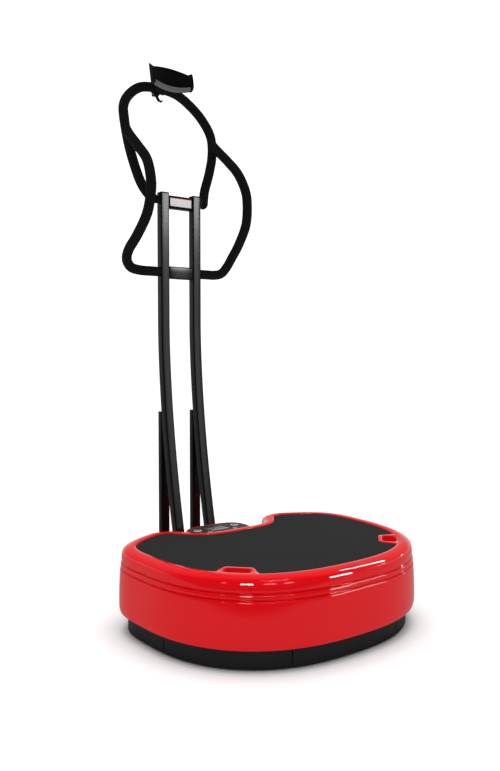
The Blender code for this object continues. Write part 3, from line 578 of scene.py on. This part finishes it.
def half_outline():
    """The mat's right half, from the middle of its front to the middle of the rear bay.

    Drawn in mat widths behind the mat's front edge, then scaled.
    """
    front = []
    for k in range(24):
        a = pi / 2 * k / 24
        front.append(Vector((0.5 * sin(a) ** 0.8, 0.485 * (1 - cos(a) ** 0.8))))
    side = [(0.5, 0.485), (0.5, 0.545), (0.491, 0.605), (0.464, 0.658), (0.418, 0.698), (0.362, 0.731)]
    lobe_tip = [(0.312, 0.752), (0.281, 0.750), (0.256, 0.724), (0.213, 0.672), (0.158, 0.632)]
    bay = [(0.085, 0.617), (0.0, 0.615)]
    rear = catmull(side + lobe_tip + bay, 6)
    curve = [point * MAT_WIDTH + Vector((0.0, MAT_FRONT)) for point in front + rear]
    return even_steps(curve, COARSE_STEPS)


HALF_OUTLINE = half_outline()


def outline(offset):
    """The closed plan outline moved outwards, smooth through the CAD outline's own points."""
    loop = HALF_OUTLINE + [Vector((-p.x, p.y)) for p in reversed(HALF_OUTLINE[1:-1])]
    moved = []
    for i, point in enumerate(loop):
        along = (loop[(i + 1) % len(loop)] - loop[i - 1]).normalized()
        moved.append(point + offset * Vector((along.y, -along.x)))
    return closed_catmull(moved, FINE)


def outline_rings(profile):
    """Rings round the platform, one for each (offset, height)."""
    return stack((outline(offset), height) for offset, height in profile)


# ---- platform --------------------------------------------

CASING_REACH = 0.040  # how far the casing stands out from the mat
CORNER = Vector((0.367 * MAT_WIDTH, MAT_FRONT + 0.147 * MAT_WIDTH, 0.0))  # the right recess's middle
CORNER_TURN = 0.80
TAB_TOP = MAT_TOP + 0.0011
TAB_FOOT = 0.1940
TAB_GAP = 0.0007  # between the tab and the mat
POCKET_FLOOR = 0.1890


def corner_place(side):
    """Moves what is drawn round the origin to a front corner."""
    turn = Matrix.Rotation(CORNER_TURN * side, 4, "Z")
    return Matrix.Translation((side * CORNER.x, CORNER.y, 0.0)) @ turn


def casing_profile():
    """(offset, height) down the outside of the casing and back up its inside."""
    lip = [(0.0012, 0.2010), (0.0012, 0.2066), (0.0020, 0.2078), (0.0040, 0.2087)]
    crown = [(0.0100, 0.2093), (0.0165, 0.2089), (0.0225, 0.2077), (0.0280, 0.2055), (0.0322, 0.2024)]
    shoulder = [(0.0349, 0.1993), (0.0364, 0.1945), (0.0372, 0.1890), (0.0377, 0.1830)]
    first = [(0.0378, 0.1790), (0.0373, 0.1769), (0.0356, 0.1755), (0.0346, 0.1743), (0.0352, 0.1729)]
    band = [(0.0376, 0.1716), (0.0391, 0.1704), (0.0397, 0.1680), (0.0400, 0.1645)]
    second = [(0.0397, 0.1626), (0.0382, 0.1612), (0.0366, 0.1600), (0.0370, 0.1586), (0.0392, 0.1573)]
    lower = [(0.0408, 0.1560), (0.0414, 0.1530), (0.0422, 0.1400), (0.0432, 0.1200), (0.0440, 0.0950)]
    rim = CASING_FOOT + 0.0002
    foot = [(0.0442, 0.0720), (0.0438, 0.0620), (0.0424, 0.0548), (0.0404, 0.0512), (0.0388, rim)]
    outside = catmull(lip[1:] + crown + shoulder + first + band + second + lower + foot, 3)
    inside = [(CASING_REACH - 0.0046, rim), (CASING_REACH - 0.0040, 0.110), (CASING_REACH - 0.0085, 0.156)]
    under = [(CASING_REACH - 0.0095, 0.1875), (0.024, 0.1990), lip[0]]
    return [tuple(p) for p in outside] + inside + under


def make_casing():
    """The glossy red shell with its two grooves."""
    bm = skin(outline_rings(casing_profile()), closed=True)
    add_piece("casing_shell", bm, "red_gloss", "deck", ("deck_casing",), sharp=SOFT)


def tab_contour():
    """The tab's plan shape, flared where it leaves the casing's bead."""
    flare = [(0.0680, -0.0270), (0.0565, -0.0195), (0.0485, -0.0100), (0.0440, 0.0010)]
    inner = [(0.0402, 0.0115), (0.0372, 0.0190), (0.0338, 0.0243), (0.0285, 0.0274)]
    right = catmull(flare + inner, 5)
    return right + [Vector((-p.x, p.y)) for p in reversed(right)]


def pocket_contour(half_x=0.0312, half_y=0.0178, cut=0.0068):
    """A long rectangle with cut corners."""
    x, y = half_x - cut, half_y - cut
    right = [(x, -half_y), (half_x, -y), (half_x, y), (x, half_y)]
    return right + [(-x, y) for x, y in reversed(right)]


def by_angle(contour, count=144):
    """A star-shaped contour met by even rays from its middle."""
    points = []
    for a in ring_turns(count):
        ray = Vector((cos(a), sin(a)))
        best = 0.0
        for i, start in enumerate(contour):
            start, end = Vector(start), Vector(contour[(i + 1) % len(contour)])
            edge = end - start
            cross = ray.x * edge.y - ray.y * edge.x
            if abs(cross) < 1e-12:
                continue
            along = (start.x * edge.y - start.y * edge.x) / cross
            share = (start.x * ray.y - start.y * ray.x) / cross
            if along > 0 and -1e-9 <= share <= 1 + 1e-9:
                best = max(best, along)
        points.append(ray * best)
    return points


def softened(points, passes=3):
    """Rounds a closed contour's corners a little."""
    for _ in range(passes):
        points = [(points[i - 1] + 2 * p + points[(i + 1) % len(points)]) / 4 for i, p in enumerate(points)]
    return points


def grown(points, amount):
    """A contour moved away from its middle."""
    return [p + p.normalized() * amount for p in points]


def make_recess(side, name):
    """The red tab in the mat, with a sunk pocket for a strap's hook."""
    outer = by_angle(tab_contour())
    mouth = softened(by_angle(pocket_contour()), 2)
    levels = [(grown(outer, -0.0006), TAB_FOOT), (outer, TAB_FOOT + 0.0100), (outer, TAB_TOP - 0.0014)]
    levels += [(grown(outer, -0.0004), TAB_TOP - 0.0005), (grown(outer, -0.0014), TAB_TOP)]
    levels += [(grown(mouth, 0.0022), TAB_TOP), (grown(mouth, 0.0008), TAB_TOP - 0.0004)]
    levels += [(mouth, TAB_TOP - 0.0018), (grown(mouth, -0.0010), POCKET_FLOOR + 0.0030)]
    levels += [(grown(mouth, -0.0018), POCKET_FLOOR + 0.0008), (grown(mouth, -0.0040), POCKET_FLOOR)]
    bm = skin(stack(levels))
    bm.transform(corner_place(side))
    add_piece(f"strap_recess_{name}", bm, "red_gloss", "deck", sharp=SOFT)


def tab_hole(side):
    """What the mat leaves free for a tab, from below the mat to above it."""
    points = grown(by_angle(tab_contour()), TAB_GAP)
    bm = skin(stack([(points, 0.15), (points, 0.25)]))
    bm.transform(corner_place(side))
    return bm


def make_mat():
    """The rubber mat, with a small rounded edge, cut out round both recesses."""
    low = MAT_LOW.z + 0.0001
    profile = [(-0.0006, low), (-0.0004, low + 0.0004), (-0.0004, MAT_TOP - 0.0011)]
    profile += [(-0.0007, MAT_TOP - 0.0004), (-0.0014, MAT_TOP)]
    mat = add_piece("mat", skin(outline_rings(profile)), "mat_rubber", "deck", ("deck_mat",))
    carve(mat, tab_hole(-1), tab_hole(1))


# ---- skirt -----------------------------------------------

SKIRT_OUTER = 0.0225  # offsets from the mat's outline
SKIRT_INNER = 0.0190
SKIRT_EDGE = 0.0015  # radius of the lower edge
SEAM_GAP = 0.0022  # how far a panel's end stays back from the seam
SEAM_EDGE = 0.0012  # how long its thinned end is
SEAM_THIN = 0.55


def seam_index(x, y):
    """The outline's point nearest to a place given in mat widths behind the mat's front edge."""
    place = Vector((x * MAT_WIDTH, MAT_FRONT + y * MAT_WIDTH))
    return FINE * min(range(len(HALF_OUTLINE)), key=lambda k: (HALF_OUTLINE[k] - place).length)


def make_skirt():
    """Five thin panels with rounded lower edges and narrow seams between them."""
    low, high = SKIRT_LOW.z, SKIRT_HIGH.z
    edge = arc((SKIRT_OUTER - SKIRT_EDGE, low + SKIRT_EDGE), SKIRT_EDGE, -90, 0, 4)
    profile = [(SKIRT_INNER, high), (SKIRT_INNER, low), *edge, (SKIRT_OUTER, 0.045), (SKIRT_OUTER, high)]
    sections = [list(section) for section in zip(*outline_rings(profile))]
    total = len(sections)
    front, flank, bay = seam_index(0.24, 0.03), seam_index(0.49, 0.37), seam_index(0.165, 0.64)
    spans = {"front": (-front, front), "right": (front, flank), "rear_right": (flank, bay),
             "left": (total - flank, total - front), "rear_left": (total - bay, total - flank)}
    for name, (first, last) in spans.items():
        rings = [sections[k % total] for k in range(first, last + 1)]
        start = seam_ring(rings[0], rings[1], SEAM_GAP, 1.0)
        end = seam_ring(rings[-1], rings[-2], SEAM_GAP, 1.0)
        rings = [start, *rings[1:-1], end]
        rings.insert(0, seam_ring(rings[0], rings[1], -SEAM_EDGE, SEAM_THIN))
        rings.append(seam_ring(rings[-1], rings[-2], -SEAM_EDGE, SEAM_THIN))
        add_piece(f"skirt_panel_{name}", skin(rings), "skirt_plastic", "base", (f"skirt_{name}",), SOFT)


def seam_ring(ring, towards, shift, thickness):
    """A section slid along the panel, drawn in round its middle."""
    along = (towards[0] - ring[0]).normalized() * shift
    middle = sum(ring, Vector()) / len(ring)
    return [Vector((*middle.xy.lerp(p.xy, thickness), p.z)) + along for p in ring]


# ---- console ---------------------------------------------

POWER_Z = 0.072
POWER_HOLES = ((-0.024, 0.0142, 0.0102), (0.024, 0.0107, 0.0072))  # inlet and switch: x, half sizes
KEYS = {  # x and y from the panel's middle, and radius
    "start_stop": (-0.063, 0.011, 0.011),
    "mode": (0.063, 0.011, 0.011),
    "minus": (-0.042, -0.0215, 0.0065),
    "plus": (0.042, -0.0215, 0.0065),
}
PANEL_INSET = 0.0072
TICKS_Y = DISPLAY_LOW.y - 0.0072
TICK_STEP = 0.0065
SIGN_BARS = {  # half width, half depth and shift, in sign sizes
    "start_stop": [(0.12, 1.0, 0.55)],
    "mode": [(0.9, 0.14, 0.45), (0.9, 0.14, -0.05), (0.9, 0.14, -0.55)],
    "minus": [(0.9, 0.2, 0.0)],
    "plus": [(0.9, 0.2, 0.0), (0.2, 0.9, 0.0)],
}


def plate_between(half_x, half_y, middle, low, high, radius, edge):
    """A rounded rectangle raised along Z, with a softened top edge."""
    levels = [(0.0, low), (0.0, high - edge), (-0.3 * edge, high - 0.3 * edge), (-edge, high)]
    rings = []
    for grow, height in levels:
        points = rounded_rectangle(half_x + grow, half_y + grow, radius)
        rings.append([Vector((middle[0] + x, middle[1] + y, height)) for x, y in points])
    return skin(rings)


def pod_rings(levels):
    """Rings round the console, one for each (growth, height)."""
    shapes = [superellipse(*(half + grow for half in POD_HALF), POD_Y) for grow, _ in levels]
    return stack(zip(shapes, (height for _, height in levels)))


def make_housing():
    """The red housing with a rolled lip, and a boss at the rear for the inlet and the switch."""
    foot = POD_LOW.z
    outer = [(0.0, foot), (0.0, 0.172), (-0.0006, 0.1790), (-0.0019, 0.1850), (-0.0034, 0.1888)]
    lip = [(-0.0048, 0.1904), (-0.0058, 0.1908), (-0.0066, 0.1903), (-0.0068, 0.1890), (-0.0068, 0.1846)]
    inner = [(-0.012, 0.1846), (-0.012, 0.1820), (-0.0035, 0.1800), (-0.0035, foot)]
    levels = [(grow, min(height, POD_HIGH.z)) for grow, height in outer + lip + inner]
    shell = skin(pod_rings(levels), closed=True)
    housing = add_piece("console_housing", shell, "red_gloss", "base", ("console_pod",), HOLDER_CRISP)
    rear = POD_Y + POD_HALF[1]
    boss = plate_between(0.046, 0.027, (0.0, 0.0), -0.0050, 0.0020, 0.006, 0.0012)
    boss.transform(Matrix.Translation((0.0, rear, POWER_Z)) @ Matrix.Rotation(-pi / 2, 4, "X"))
    carve(housing, boss, operation="UNION")
    for x, half_x, half_z in POWER_HOLES:
        low, high = (x - half_x, rear - 0.01, POWER_Z - half_z), (x + half_x, rear + 0.01, POWER_Z + half_z)
        carve(housing, box(low, high))


def make_console_face():
    """The grey panel, with holes for the keys and a window for the display."""
    levels = [(-PANEL_INSET, PANEL_LOW.z), (-PANEL_INSET, PANEL_TOP - 0.0006)]
    levels += [(-PANEL_INSET - 0.0002, PANEL_TOP - 0.0002), (-PANEL_INSET - 0.0007, PANEL_TOP)]
    face = add_piece("console_face", skin(pod_rings(levels)), "panel_grey", "base", ("console_panel",))
    for x, y, radius in KEYS.values():
        hole = lathe([(0, 0.17), (radius + 0.0004, 0.17), (radius + 0.0004, 0.21), (0, 0.21)])
        hole.transform(Matrix.Translation((x, POD_Y + y, 0.0)))
        carve(face, hole)
    half = (DISPLAY_HIGH - DISPLAY_LOW) / 2
    middle = (DISPLAY_LOW + DISPLAY_HIGH) / 2
    carve(face, plate_between(half.x + 0.0003, half.y + 0.0003, middle, 0.17, 0.21, 0.0020, 0.0))
    window = plate_between(half.x, half.y, middle, DISPLAY_LOW.z, DISPLAY_HIGH.z, 0.0018, 0.0005)
    add_piece("console_window", window, "display_lens", "base", ("console_display",))


def make_marks():
    """The level bar: light raised ticks below the display, each longer than the last."""
    bm = bmesh.new()
    for k in range(9):
        x = TICK_STEP * (k - 4)
        tall = 0.0032 + 0.0002 * k
        low = (x - 0.0015, TICKS_Y - tall, PANEL_TOP + 0.0001)
        add_into(bm, box(low, (x + 0.0015, TICKS_Y + tall, PANEL_TOP + 0.0008), 0.0002, 2))
    add_piece("console_ticks", bm, "button_silver", "base", shown="print_light")


def add_into(bm, part):
    """Adds another bmesh to this one."""
    mesh = bpy.data.meshes.new("part")
    part.to_mesh(mesh)
    part.free()
    bm.from_mesh(mesh)
    bpy.data.meshes.remove(mesh)


def make_keys():
    """Each key is a dished film disc in a light ring."""
    for name, (x, y, radius) in KEYS.items():
        ring = radius * 0.76
        profile = [(0, -0.0074), (radius - 0.0004, -0.0074), (radius, -0.0070), (radius, 0.0004)]
        profile += [(radius - 0.0005, 0.0011), (radius - 0.0012, 0.0013), (ring, 0.0013)]
        profile += [(ring - 0.0006, 0.0010), (ring - 0.0025, 0.0008), (radius * 0.25, 0.0006), (0, 0.0006)]
        bm = lathe(profile)
        bm.transform(Matrix.Translation((x, POD_Y + y, PANEL_TOP)))
        place = Vector((x, POD_Y + y, 0.0))
        for face in bm.faces:
            middle = face.calc_center_median()
            reach = hypot(middle.x - place.x, middle.y - place.y)
            if reach > ring - 0.0001 and middle.z > PANEL_TOP + 0.0005:
                face.material_index = 1
        node = f"{name}_button"
        add_piece(f"{name}_key_cap", bm, "button_silver", f"{name}_key", (node,), second="print_light")
        add_icon(name, place, radius)


def add_icon(name, place, radius):
    """A key's raised sign: an open ring and a bar, three bars, a minus or a plus."""
    size = radius * 0.38
    bm = bmesh.new()
    low, high = PANEL_TOP + 0.0004, PANEL_TOP + 0.0011
    for wide, deep, shift in SIGN_BARS[name]:
        middle = place + Vector((0.0, shift * size, 0.0))
        add_into(bm, box((middle.x - wide * size, middle.y - deep * size, low),
                         (middle.x + wide * size, middle.y + deep * size, high), 0.0001, 1))
    if name == "start_stop":
        inner, outer = size * 0.85, size * 1.12
        section = ((inner, low), (outer, low), (outer, high), (inner, high))
        turns = [radians(125 + 290 * k / 24) for k in range(25)]
        rings = [[place + Vector((r * cos(a), r * sin(a), z)) for r, z in section] for a in turns]
        add_into(bm, skin(rings))
    add_piece(f"{name}_sign", bm, "button_silver", f"{name}_key", shown="print_light")


def make_power_sockets():
    refined("inlet_body", "mains_inlet", "box_plastic", "base", 0.0004, 2)
    refined("rocker_cap", "power_switch", "box_plastic", "rocker", 0.0006, 3)


# ---- column ----------------------------------------------

SWEEP = (0.181, 1.75)  # how fast the sweep grows with the depth below its start, and its power


def sweep_forward(z):
    """How far forward of the column's line a front leg stands at a height."""
    return SWEEP[0] * max(SWEEP_HEIGHT - z, 0.0) ** SWEEP[1]


def front_leg(x, grow, steps=56):
    """A front leg: swept forward below, straight above."""
    heights = [LEG_FOOT - 2 * grow + (SWEEP_HEIGHT - LEG_FOOT) * k / steps for k in range(steps + 1)]
    heights += [SWEEP_HEIGHT + (COLUMN_TOP - SWEEP_HEIGHT) * k / 6 for k in range(1, 7)]
    section = rounded_rectangle(LEG_WIDTH / 2 + grow, LEG_DEPTH / 2 + grow, LEG_CORNER)
    rings = []
    for z in heights:
        y = COLUMN_Y - sweep_forward(z)
        rings.append([Vector((x + px, y + py, z)) for px, py in section])
    return skin(rings)


def make_legs():
    """Both uprights, the rear legs that butt against them, and the plugs in their tops."""
    rear_y = COLUMN_Y + (LEG_DEPTH - REAR_DEPTH) / 2
    section = rounded_rectangle(LEG_WIDTH / 2, REAR_DEPTH / 2, LEG_CORNER)
    heights = [REAR_LOW.z + (REAR_HIGH.z - REAR_LOW.z) * k / 8 for k in range(9)]
    for side, name in SIDES:
        x = side * LEG_SPACING / 2
        front = front_leg(x, 0.0)
        add_piece(f"front_upright_{name}", front, "powder_coat", "base", (f"front_leg_{name}",), SOFT)
        points = [(x + px, rear_y + py) for px, py in section]
        bm = skin(stack((points, z) for z in heights))
        rear = add_piece(f"rear_upright_{name}", bm, "powder_coat", "base", (f"rear_leg_{name}",), SOFT)
        carve(rear, front_leg(x, 0.0003), sharp=SOFT)
        low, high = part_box(f"leg_cap_{name}")
        half, middle = (high - low) / 2, (low + high) / 2
        cap = plate_between(half.x, half.y, middle, low.z, high.z, LEG_CORNER, 0.0014)
        add_piece(f"upright_cap_{name}", cap, "holder_plastic", "base", (f"leg_cap_{name}",), SOFT)


def make_crossbars():
    """Both crossbars, and the plate on the upper one with a red edge above it."""
    for node, radius in (("upper_crossbar", 0.0024), ("lower_crossbar", 0.0032)):
        bar = box(*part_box(node), radius, 4)
        add_piece(f"{node}_bar", bar, "powder_coat", "base", (node,), SOFT)
    low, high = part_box("nameplate")
    add_piece("plate_blank", box(low, high, 0.0007), "nameplate_satin", "base", ("nameplate",), SOFT)
    trim = box((low.x, low.y, high.z + 0.0008), (high.x, high.y - 0.0004, high.z + 0.0020), 0.0004, 2)
    add_piece("plate_trim", trim, "red_gloss", "base", sharp=SOFT)


# ---- handlebar -------------------------------------------

FOAM_SKIN = 0.0002  # how far the foam stands out from the CAD's bars
FOAM_VOXEL = 0.0022
STUB_OUTER = LEG_SIDE + 0.0105
STUB_Z = 1.1342
FORK = Vector((0.1505, COLUMN_Y + 0.047, 1.330))
FORK_REACH = 0.034

# x, y behind the column's line, and z of the arch's right half, from its middle down to the upright's side
ARCH_ROUTE = [
    (0.0, 0.118, 1.500), (0.062, 0.113, 1.489), (0.108, 0.101, 1.457), (0.139, 0.082, 1.414),
    (0.151, 0.055, 1.360), (0.147, 0.042, 1.300), (0.133, 0.037, 1.243), (0.113, 0.032, 1.187),
    (0.099, 0.018, 1.154), (0.086, 0.003, 1.136), (0.065, 0.0, 1.134),
]
# the same for the right grip: forward and down from the fork, then back under to the upright's side
GRIP_ROUTE = [
    (0.1502, 0.0490, 1.338), (0.153, 0.016, 1.308), (0.155, -0.032, 1.269), (0.156, -0.082, 1.224),
    (0.161, -0.112, 1.172), (0.164, -0.119, 1.128), (0.169, -0.106, 1.069), (0.175, -0.061, 1.015),
    (0.179, -0.020, 0.980), (0.175, 0.002, 0.953), (0.158, 0.008, 0.932), (0.130, 0.004, 0.925),
    (0.100, 0.0, 0.924), (LEG_SIDE + 0.0006, 0.0, 0.924),
]


def bar_path(route, side=1):
    """The smooth path of a bar through its route, on one side of the middle plane."""
    points = [Vector((side * x, COLUMN_Y + y, z)) for x, y, z in route]
    return even_steps(catmull(points, 14), 150)


def make_handlebar():
    """One foam skin over the arch and both grips, its forks blended, and its bare stubs."""
    half = [p for p in bar_path(ARCH_ROUTE) if p.x > STUB_OUTER or p.z > 1.3]
    whole = [Vector((-p.x, p.y, p.z)) for p in half[:0:-1]] + half
    foam = add_piece("handlebar_foam", skin(tube_rings(whole, BAR_RADIUS + FOAM_SKIN)), "grip_foam", "base",
                     ("handlebar_arch", "handlebar_grip_left", "handlebar_grip_right"))
    for side, _ in SIDES:
        grip = skin(tube_rings(bar_path(GRIP_ROUTE, side), GRIP_RADIUS + FOAM_SKIN))
        carve(foam, grip, operation="UNION")
    step = foam.modifiers.new("skin", "REMESH")
    step.mode = "VOXEL"
    step.voxel_size = FOAM_VOXEL
    apply_modifiers(foam)
    relax_foam(foam)
    for side, name in SIDES:
        make_stub(side, name)


def relax_foam(foam):
    """Smooths the remeshed skin, and most of all round the two forks."""
    bm = bmesh.new()
    bm.from_mesh(foam.data)
    forks = [Vector((side * FORK.x, FORK.y, FORK.z)) for side, _ in SIDES]
    near = [v for v in bm.verts if min((v.co - fork).length for fork in forks) < FORK_REACH]
    axes = {"use_axis_x": True, "use_axis_y": True, "use_axis_z": True}
    for verts, passes in ((bm.verts, 3), (near, 12)):
        for _ in range(passes):
            bmesh.ops.smooth_vert(bm, verts=verts, factor=0.5, **axes)
    bm.to_mesh(foam.data)
    bm.free()
    shade(foam, SOFT)


def make_stub(side, name):
    """The bare tube between the upright and the foam, with a weld collar."""
    levels = [(LEG_SIDE + 0.0004, 0.0135), (LEG_SIDE + 0.0014, 0.0134), (LEG_SIDE + 0.0026, 0.0124)]
    levels += [(LEG_SIDE + 0.0060, 0.0122), (STUB_OUTER + 0.0030, 0.0122)]
    y, turns = COLUMN_Y + 0.0005, ring_turns(40)
    rings = []
    for x, radius in levels:
        rings.append([Vector((side * x, y + radius * cos(a), STUB_Z + radius * sin(a))) for a in turns])
    add_piece(f"handlebar_stub_{name}", skin(rings), "powder_coat", "base", sharp=SOFT)


# ---- phone holder ----------------------------------------

CRADLE_END = 0.0660
CRADLE_BOW = 0.010
JAW_THICK = 0.004
JAW_GAP = 0.0004


def holder_frame():
    """Moves what is drawn upright round the origin to the leaning holder."""
    return Matrix.Translation(HOLDER_PIVOT) @ Matrix.Rotation(-HOLDER_LEAN, 4, "X")


def cradle_edge(x, middle, end):
    """The height of an edge that curves from its middle to the cradle's ends."""
    return middle + (end - middle) * (x / CRADLE_END) ** 2


def bowed(half_length, section, steps=44):
    """A plate along X that bows forwards at its ends; section gives its (y, z) corners at an x."""
    rings = []
    for k in range(steps + 1):
        x = -half_length + 2 * half_length * k / steps
        bow = CRADLE_BOW * (x / CRADLE_END) ** 2
        rings.append([Vector((x, y - bow, z)) for y, z in section(x)])
    bm = skin(rings)
    bm.transform(holder_frame())
    return bm


def plate_section(x):
    """A thin wall with a rolled lip along its top."""
    low, high = cradle_edge(x, -0.0388, -0.0308), cradle_edge(x, 0.0358, 0.0223)
    back, face, lip = -0.0158, -0.0192, -0.0216
    points = [(back, low), (back, high - 0.0012), (back - 0.0006, high - 0.0002), (back - 0.0014, high)]
    points += [(lip + 0.0010, high), (lip + 0.0002, high - 0.0006), (lip, high - 0.0016)]
    points += [(lip + 0.0003, high - 0.0034), (face, high - 0.0046), (face, low + 0.0012)]
    return points + [(face + 0.0010, low)]


def ledge_section(x):
    """The lip that the phone stands on, with fine ribs along its top."""
    low = cradle_edge(x, -0.0395, -0.0320)
    front, back = -0.0336, -0.0204
    points = [(back, low), (back, low + 0.0100)]
    for k in range(7):
        y = back - 0.0012 - 0.0017 * k
        rise = low + 0.0100 - 0.0001 * k
        points += [(y, rise), (y - 0.0004, rise + 0.0006), (y - 0.0009, rise + 0.0006), (y - 0.0013, rise)]
    points += [(front + 0.0006, low + 0.0088), (front, low + 0.0070), (front - 0.0002, low + 0.0010)]
    return points + [(front + 0.0008, low - 0.0006)]


def jaw_plate(inner, outer, peak, shoulder):
    """The plate beside the phone: its front edge bows out, and its back corner is highest."""
    back = -0.0264
    front = [(-0.0425, shoulder), (-0.0468, shoulder - 0.0040), (-0.0487, 0.0030), (-0.0482, -0.0160)]
    front += [(-0.0450, -0.0270), (-0.0390, -0.0318), (-0.0330, -0.0330)]
    contour = [(back, -0.0320), (back, peak)] + [(point.x, point.y) for point in catmull(front, 5)]
    middle = Vector((-0.0370, -0.0050))
    levels = [(inner, 0.0010), (inner + 0.0004, 0.0003), (inner + 0.0011, 0.0)]
    levels += [(inner + outer - x, shrink) for x, shrink in reversed(levels)]
    rings = []
    for x, shrink in levels:
        ring = []
        for y, z in contour:
            inwards = (middle - Vector((y, z))).normalized() * shrink
            ring.append(Vector((x, y + inwards.x, z + inwards.y)))
        rings.append(ring)
    bm = skin(rings)
    bm.transform(holder_frame())
    return bm


def make_cradle():
    """The bowed plate with its fixed jaw, the ledge, and the sliding jaw on its arm and rail."""
    plate = bowed(CRADLE_END, plate_section)
    cradle = add_piece("cradle_shell", plate, "holder_plastic", "cradle", ("holder_cradle",), HOLDER_CRISP)
    fixed = jaw_plate(-CRADLE_END - JAW_THICK, -CRADLE_END + 0.002, 0.0335, 0.0170)
    carve(cradle, fixed, operation="UNION", sharp=HOLDER_CRISP)
    ledge = bowed(0.0608, ledge_section)
    add_piece("cradle_ledge", ledge, "ledge_grey", "cradle", ("holder_ledge",), HOLDER_CRISP)
    inner = CRADLE_END + JAW_GAP
    outer = inner + JAW_THICK
    sliding = jaw_plate(inner, outer, 0.0245, 0.0205)
    jaw = add_piece("jaw_shell", sliding, "holder_plastic", "jaw", ("holder_jaw",), HOLDER_CRISP)
    arm = box((inner + 0.0003, -0.0300, -0.0054), (outer - 0.0003, -0.0123, 0.0054), 0.0005, 2)
    rail = box((0.0181, -0.0151, -0.0051), (outer - 0.0006, -0.0125, 0.0051), 0.0004, 2)
    for tool in (arm, rail):
        tool.transform(holder_frame())
    carve(jaw, arm, rail, operation="UNION", sharp=HOLDER_CRISP)


def make_clamp():
    """The clamp round the arch, its neck, lever and screw."""
    refined("clamp_collar", "holder_clamp", "holder_plastic", "base", 0.0008, 3)
    refined("neck_joint", "holder_neck", "holder_plastic", "neck", 0.0006, 3)
    refined("lever_hook", "clamp_lever", "holder_plastic", "lever", 0.0010, 4)
    low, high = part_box("clamp_screw")
    middle = (low + high) / 2
    reach = (high.z - low.z) / 2
    thick = high.x - low.x
    profile = [(0, 0), (reach, 0), (reach, thick * 0.6), (reach * 0.85, thick * 0.9), (reach * 0.62, thick)]
    profile += [(reach * 0.55, thick), (reach * 0.50, thick * 0.45), (0, thick * 0.45)]
    bm = lathe(profile, 36)
    bm.transform(Matrix.Translation((high.x, middle.y, middle.z)) @ Matrix.Rotation(-pi / 2, 4, "Y"))
    add_piece("clamp_cap_screw", bm, "bare_steel", "base", ("clamp_screw",))


# ---- wheels and feet -------------------------------------


def make_wheels():
    """The transport wheels, with a dished side and two grooves in the tread."""
    for _, name in SIDES:
        low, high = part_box(f"transport_wheel_{name}")
        x, y, z = (low + high) / 2
        radius = (high.z - low.z) / 2
        half = (high.x - low.x) / 2
        hub, bore = radius * 0.52, 0.0056
        flank = [(bore, half), (hub - 0.002, half), (hub, half - 0.0015), (hub + 0.002, half - 0.0030)]
        flank += [(radius - 0.0050, half - 0.0012), (radius - 0.0018, half - 0.0022)]
        flank += [(radius, half - 0.0045), (radius, half - 0.0068), (radius - 0.0010, half - 0.0074)]
        flank += [(radius - 0.0010, half - 0.0086), (radius, half - 0.0092)]
        loop = flank + [(r, -h) for r, h in reversed(flank)]
        rings = [[Vector((x + h, y + r * cos(a), z + r * sin(a))) for r, h in loop] for a in ring_turns(72)]
        tyre = skin(rings, closed=True)
        add_piece(f"wheel_tyre_{name}", tyre, "rubber", f"{name}_wheel", (f"transport_wheel_{name}",))


def make_feet():
    """The round rubber feet."""
    for name in ("front_left", "front_right", "rear_left", "rear_right"):
        low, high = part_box(f"foot_{name}")
        middle = (low + high) / 2
        radius = (high.x - low.x) / 2
        top = high.z - low.z
        profile = [(0, 0), (radius * 0.86, 0), (radius * 0.93, 0.0006), (radius, 0.0026)]
        profile += [(radius * 0.99, top * 0.6), (radius * 0.90, top - 0.0008)]
        profile += [(radius * 0.86, top), (0, top)]
        bm = lathe(profile, 48)
        bm.transform(Matrix.Translation((middle.x, middle.y, low.z)))
        add_piece(f"foot_pad_{name}", bm, "rubber", "base", (f"foot_{name}",))


# ---- what stays as the CAD made it -----------------------

KEPT = {
    "bare_steel": ("deck_plate", "motor_left_shaft", "motor_right_shaft"),
    "frame_paint": ("deck_frame", "base_frame", "base_pan", "column_foot"),
    "box_plastic": ("motor_controller",),
    "circuit_board": ("console_board",),
    "motor_paint": ("motor_left", "motor_right"),
    "weight_iron": [f"motor_{side}_weight_{end}" for side in ("left", "right") for end in "ab"],
    "rubber": [f"rubber_mount_{end}_{side}" for end in ("front", "rear") for side in ("left", "right")],
}


def finish_kept_nodes():
    """Gives the hidden nodes, which keep the CAD's shape, their slots' looks."""
    for slot, names in KEPT.items():
        for name in names:
            for part in NODES[name].material_slots:
                part.material = LOOKS[slot]


add_camera()
add_studio()
make_casing()
for tab_side, tab_name in SIDES:
    make_recess(tab_side, tab_name)
make_mat()
make_skirt()
make_housing()
make_console_face()
make_marks()
make_keys()
make_power_sockets()
make_legs()
make_crossbars()
make_handlebar()
make_cradle()
make_clamp()
make_wheels()
make_feet()
finish_kept_nodes()
light_pieces("casing_lit", ("casing_shell",), CASING_SOFTBOXES)
COLUMN_FRONT = ("front_upright_left", "front_upright_right", "lower_crossbar_bar")
light_pieces("column_lit", COLUMN_FRONT, COLUMN_SOFTBOXES)
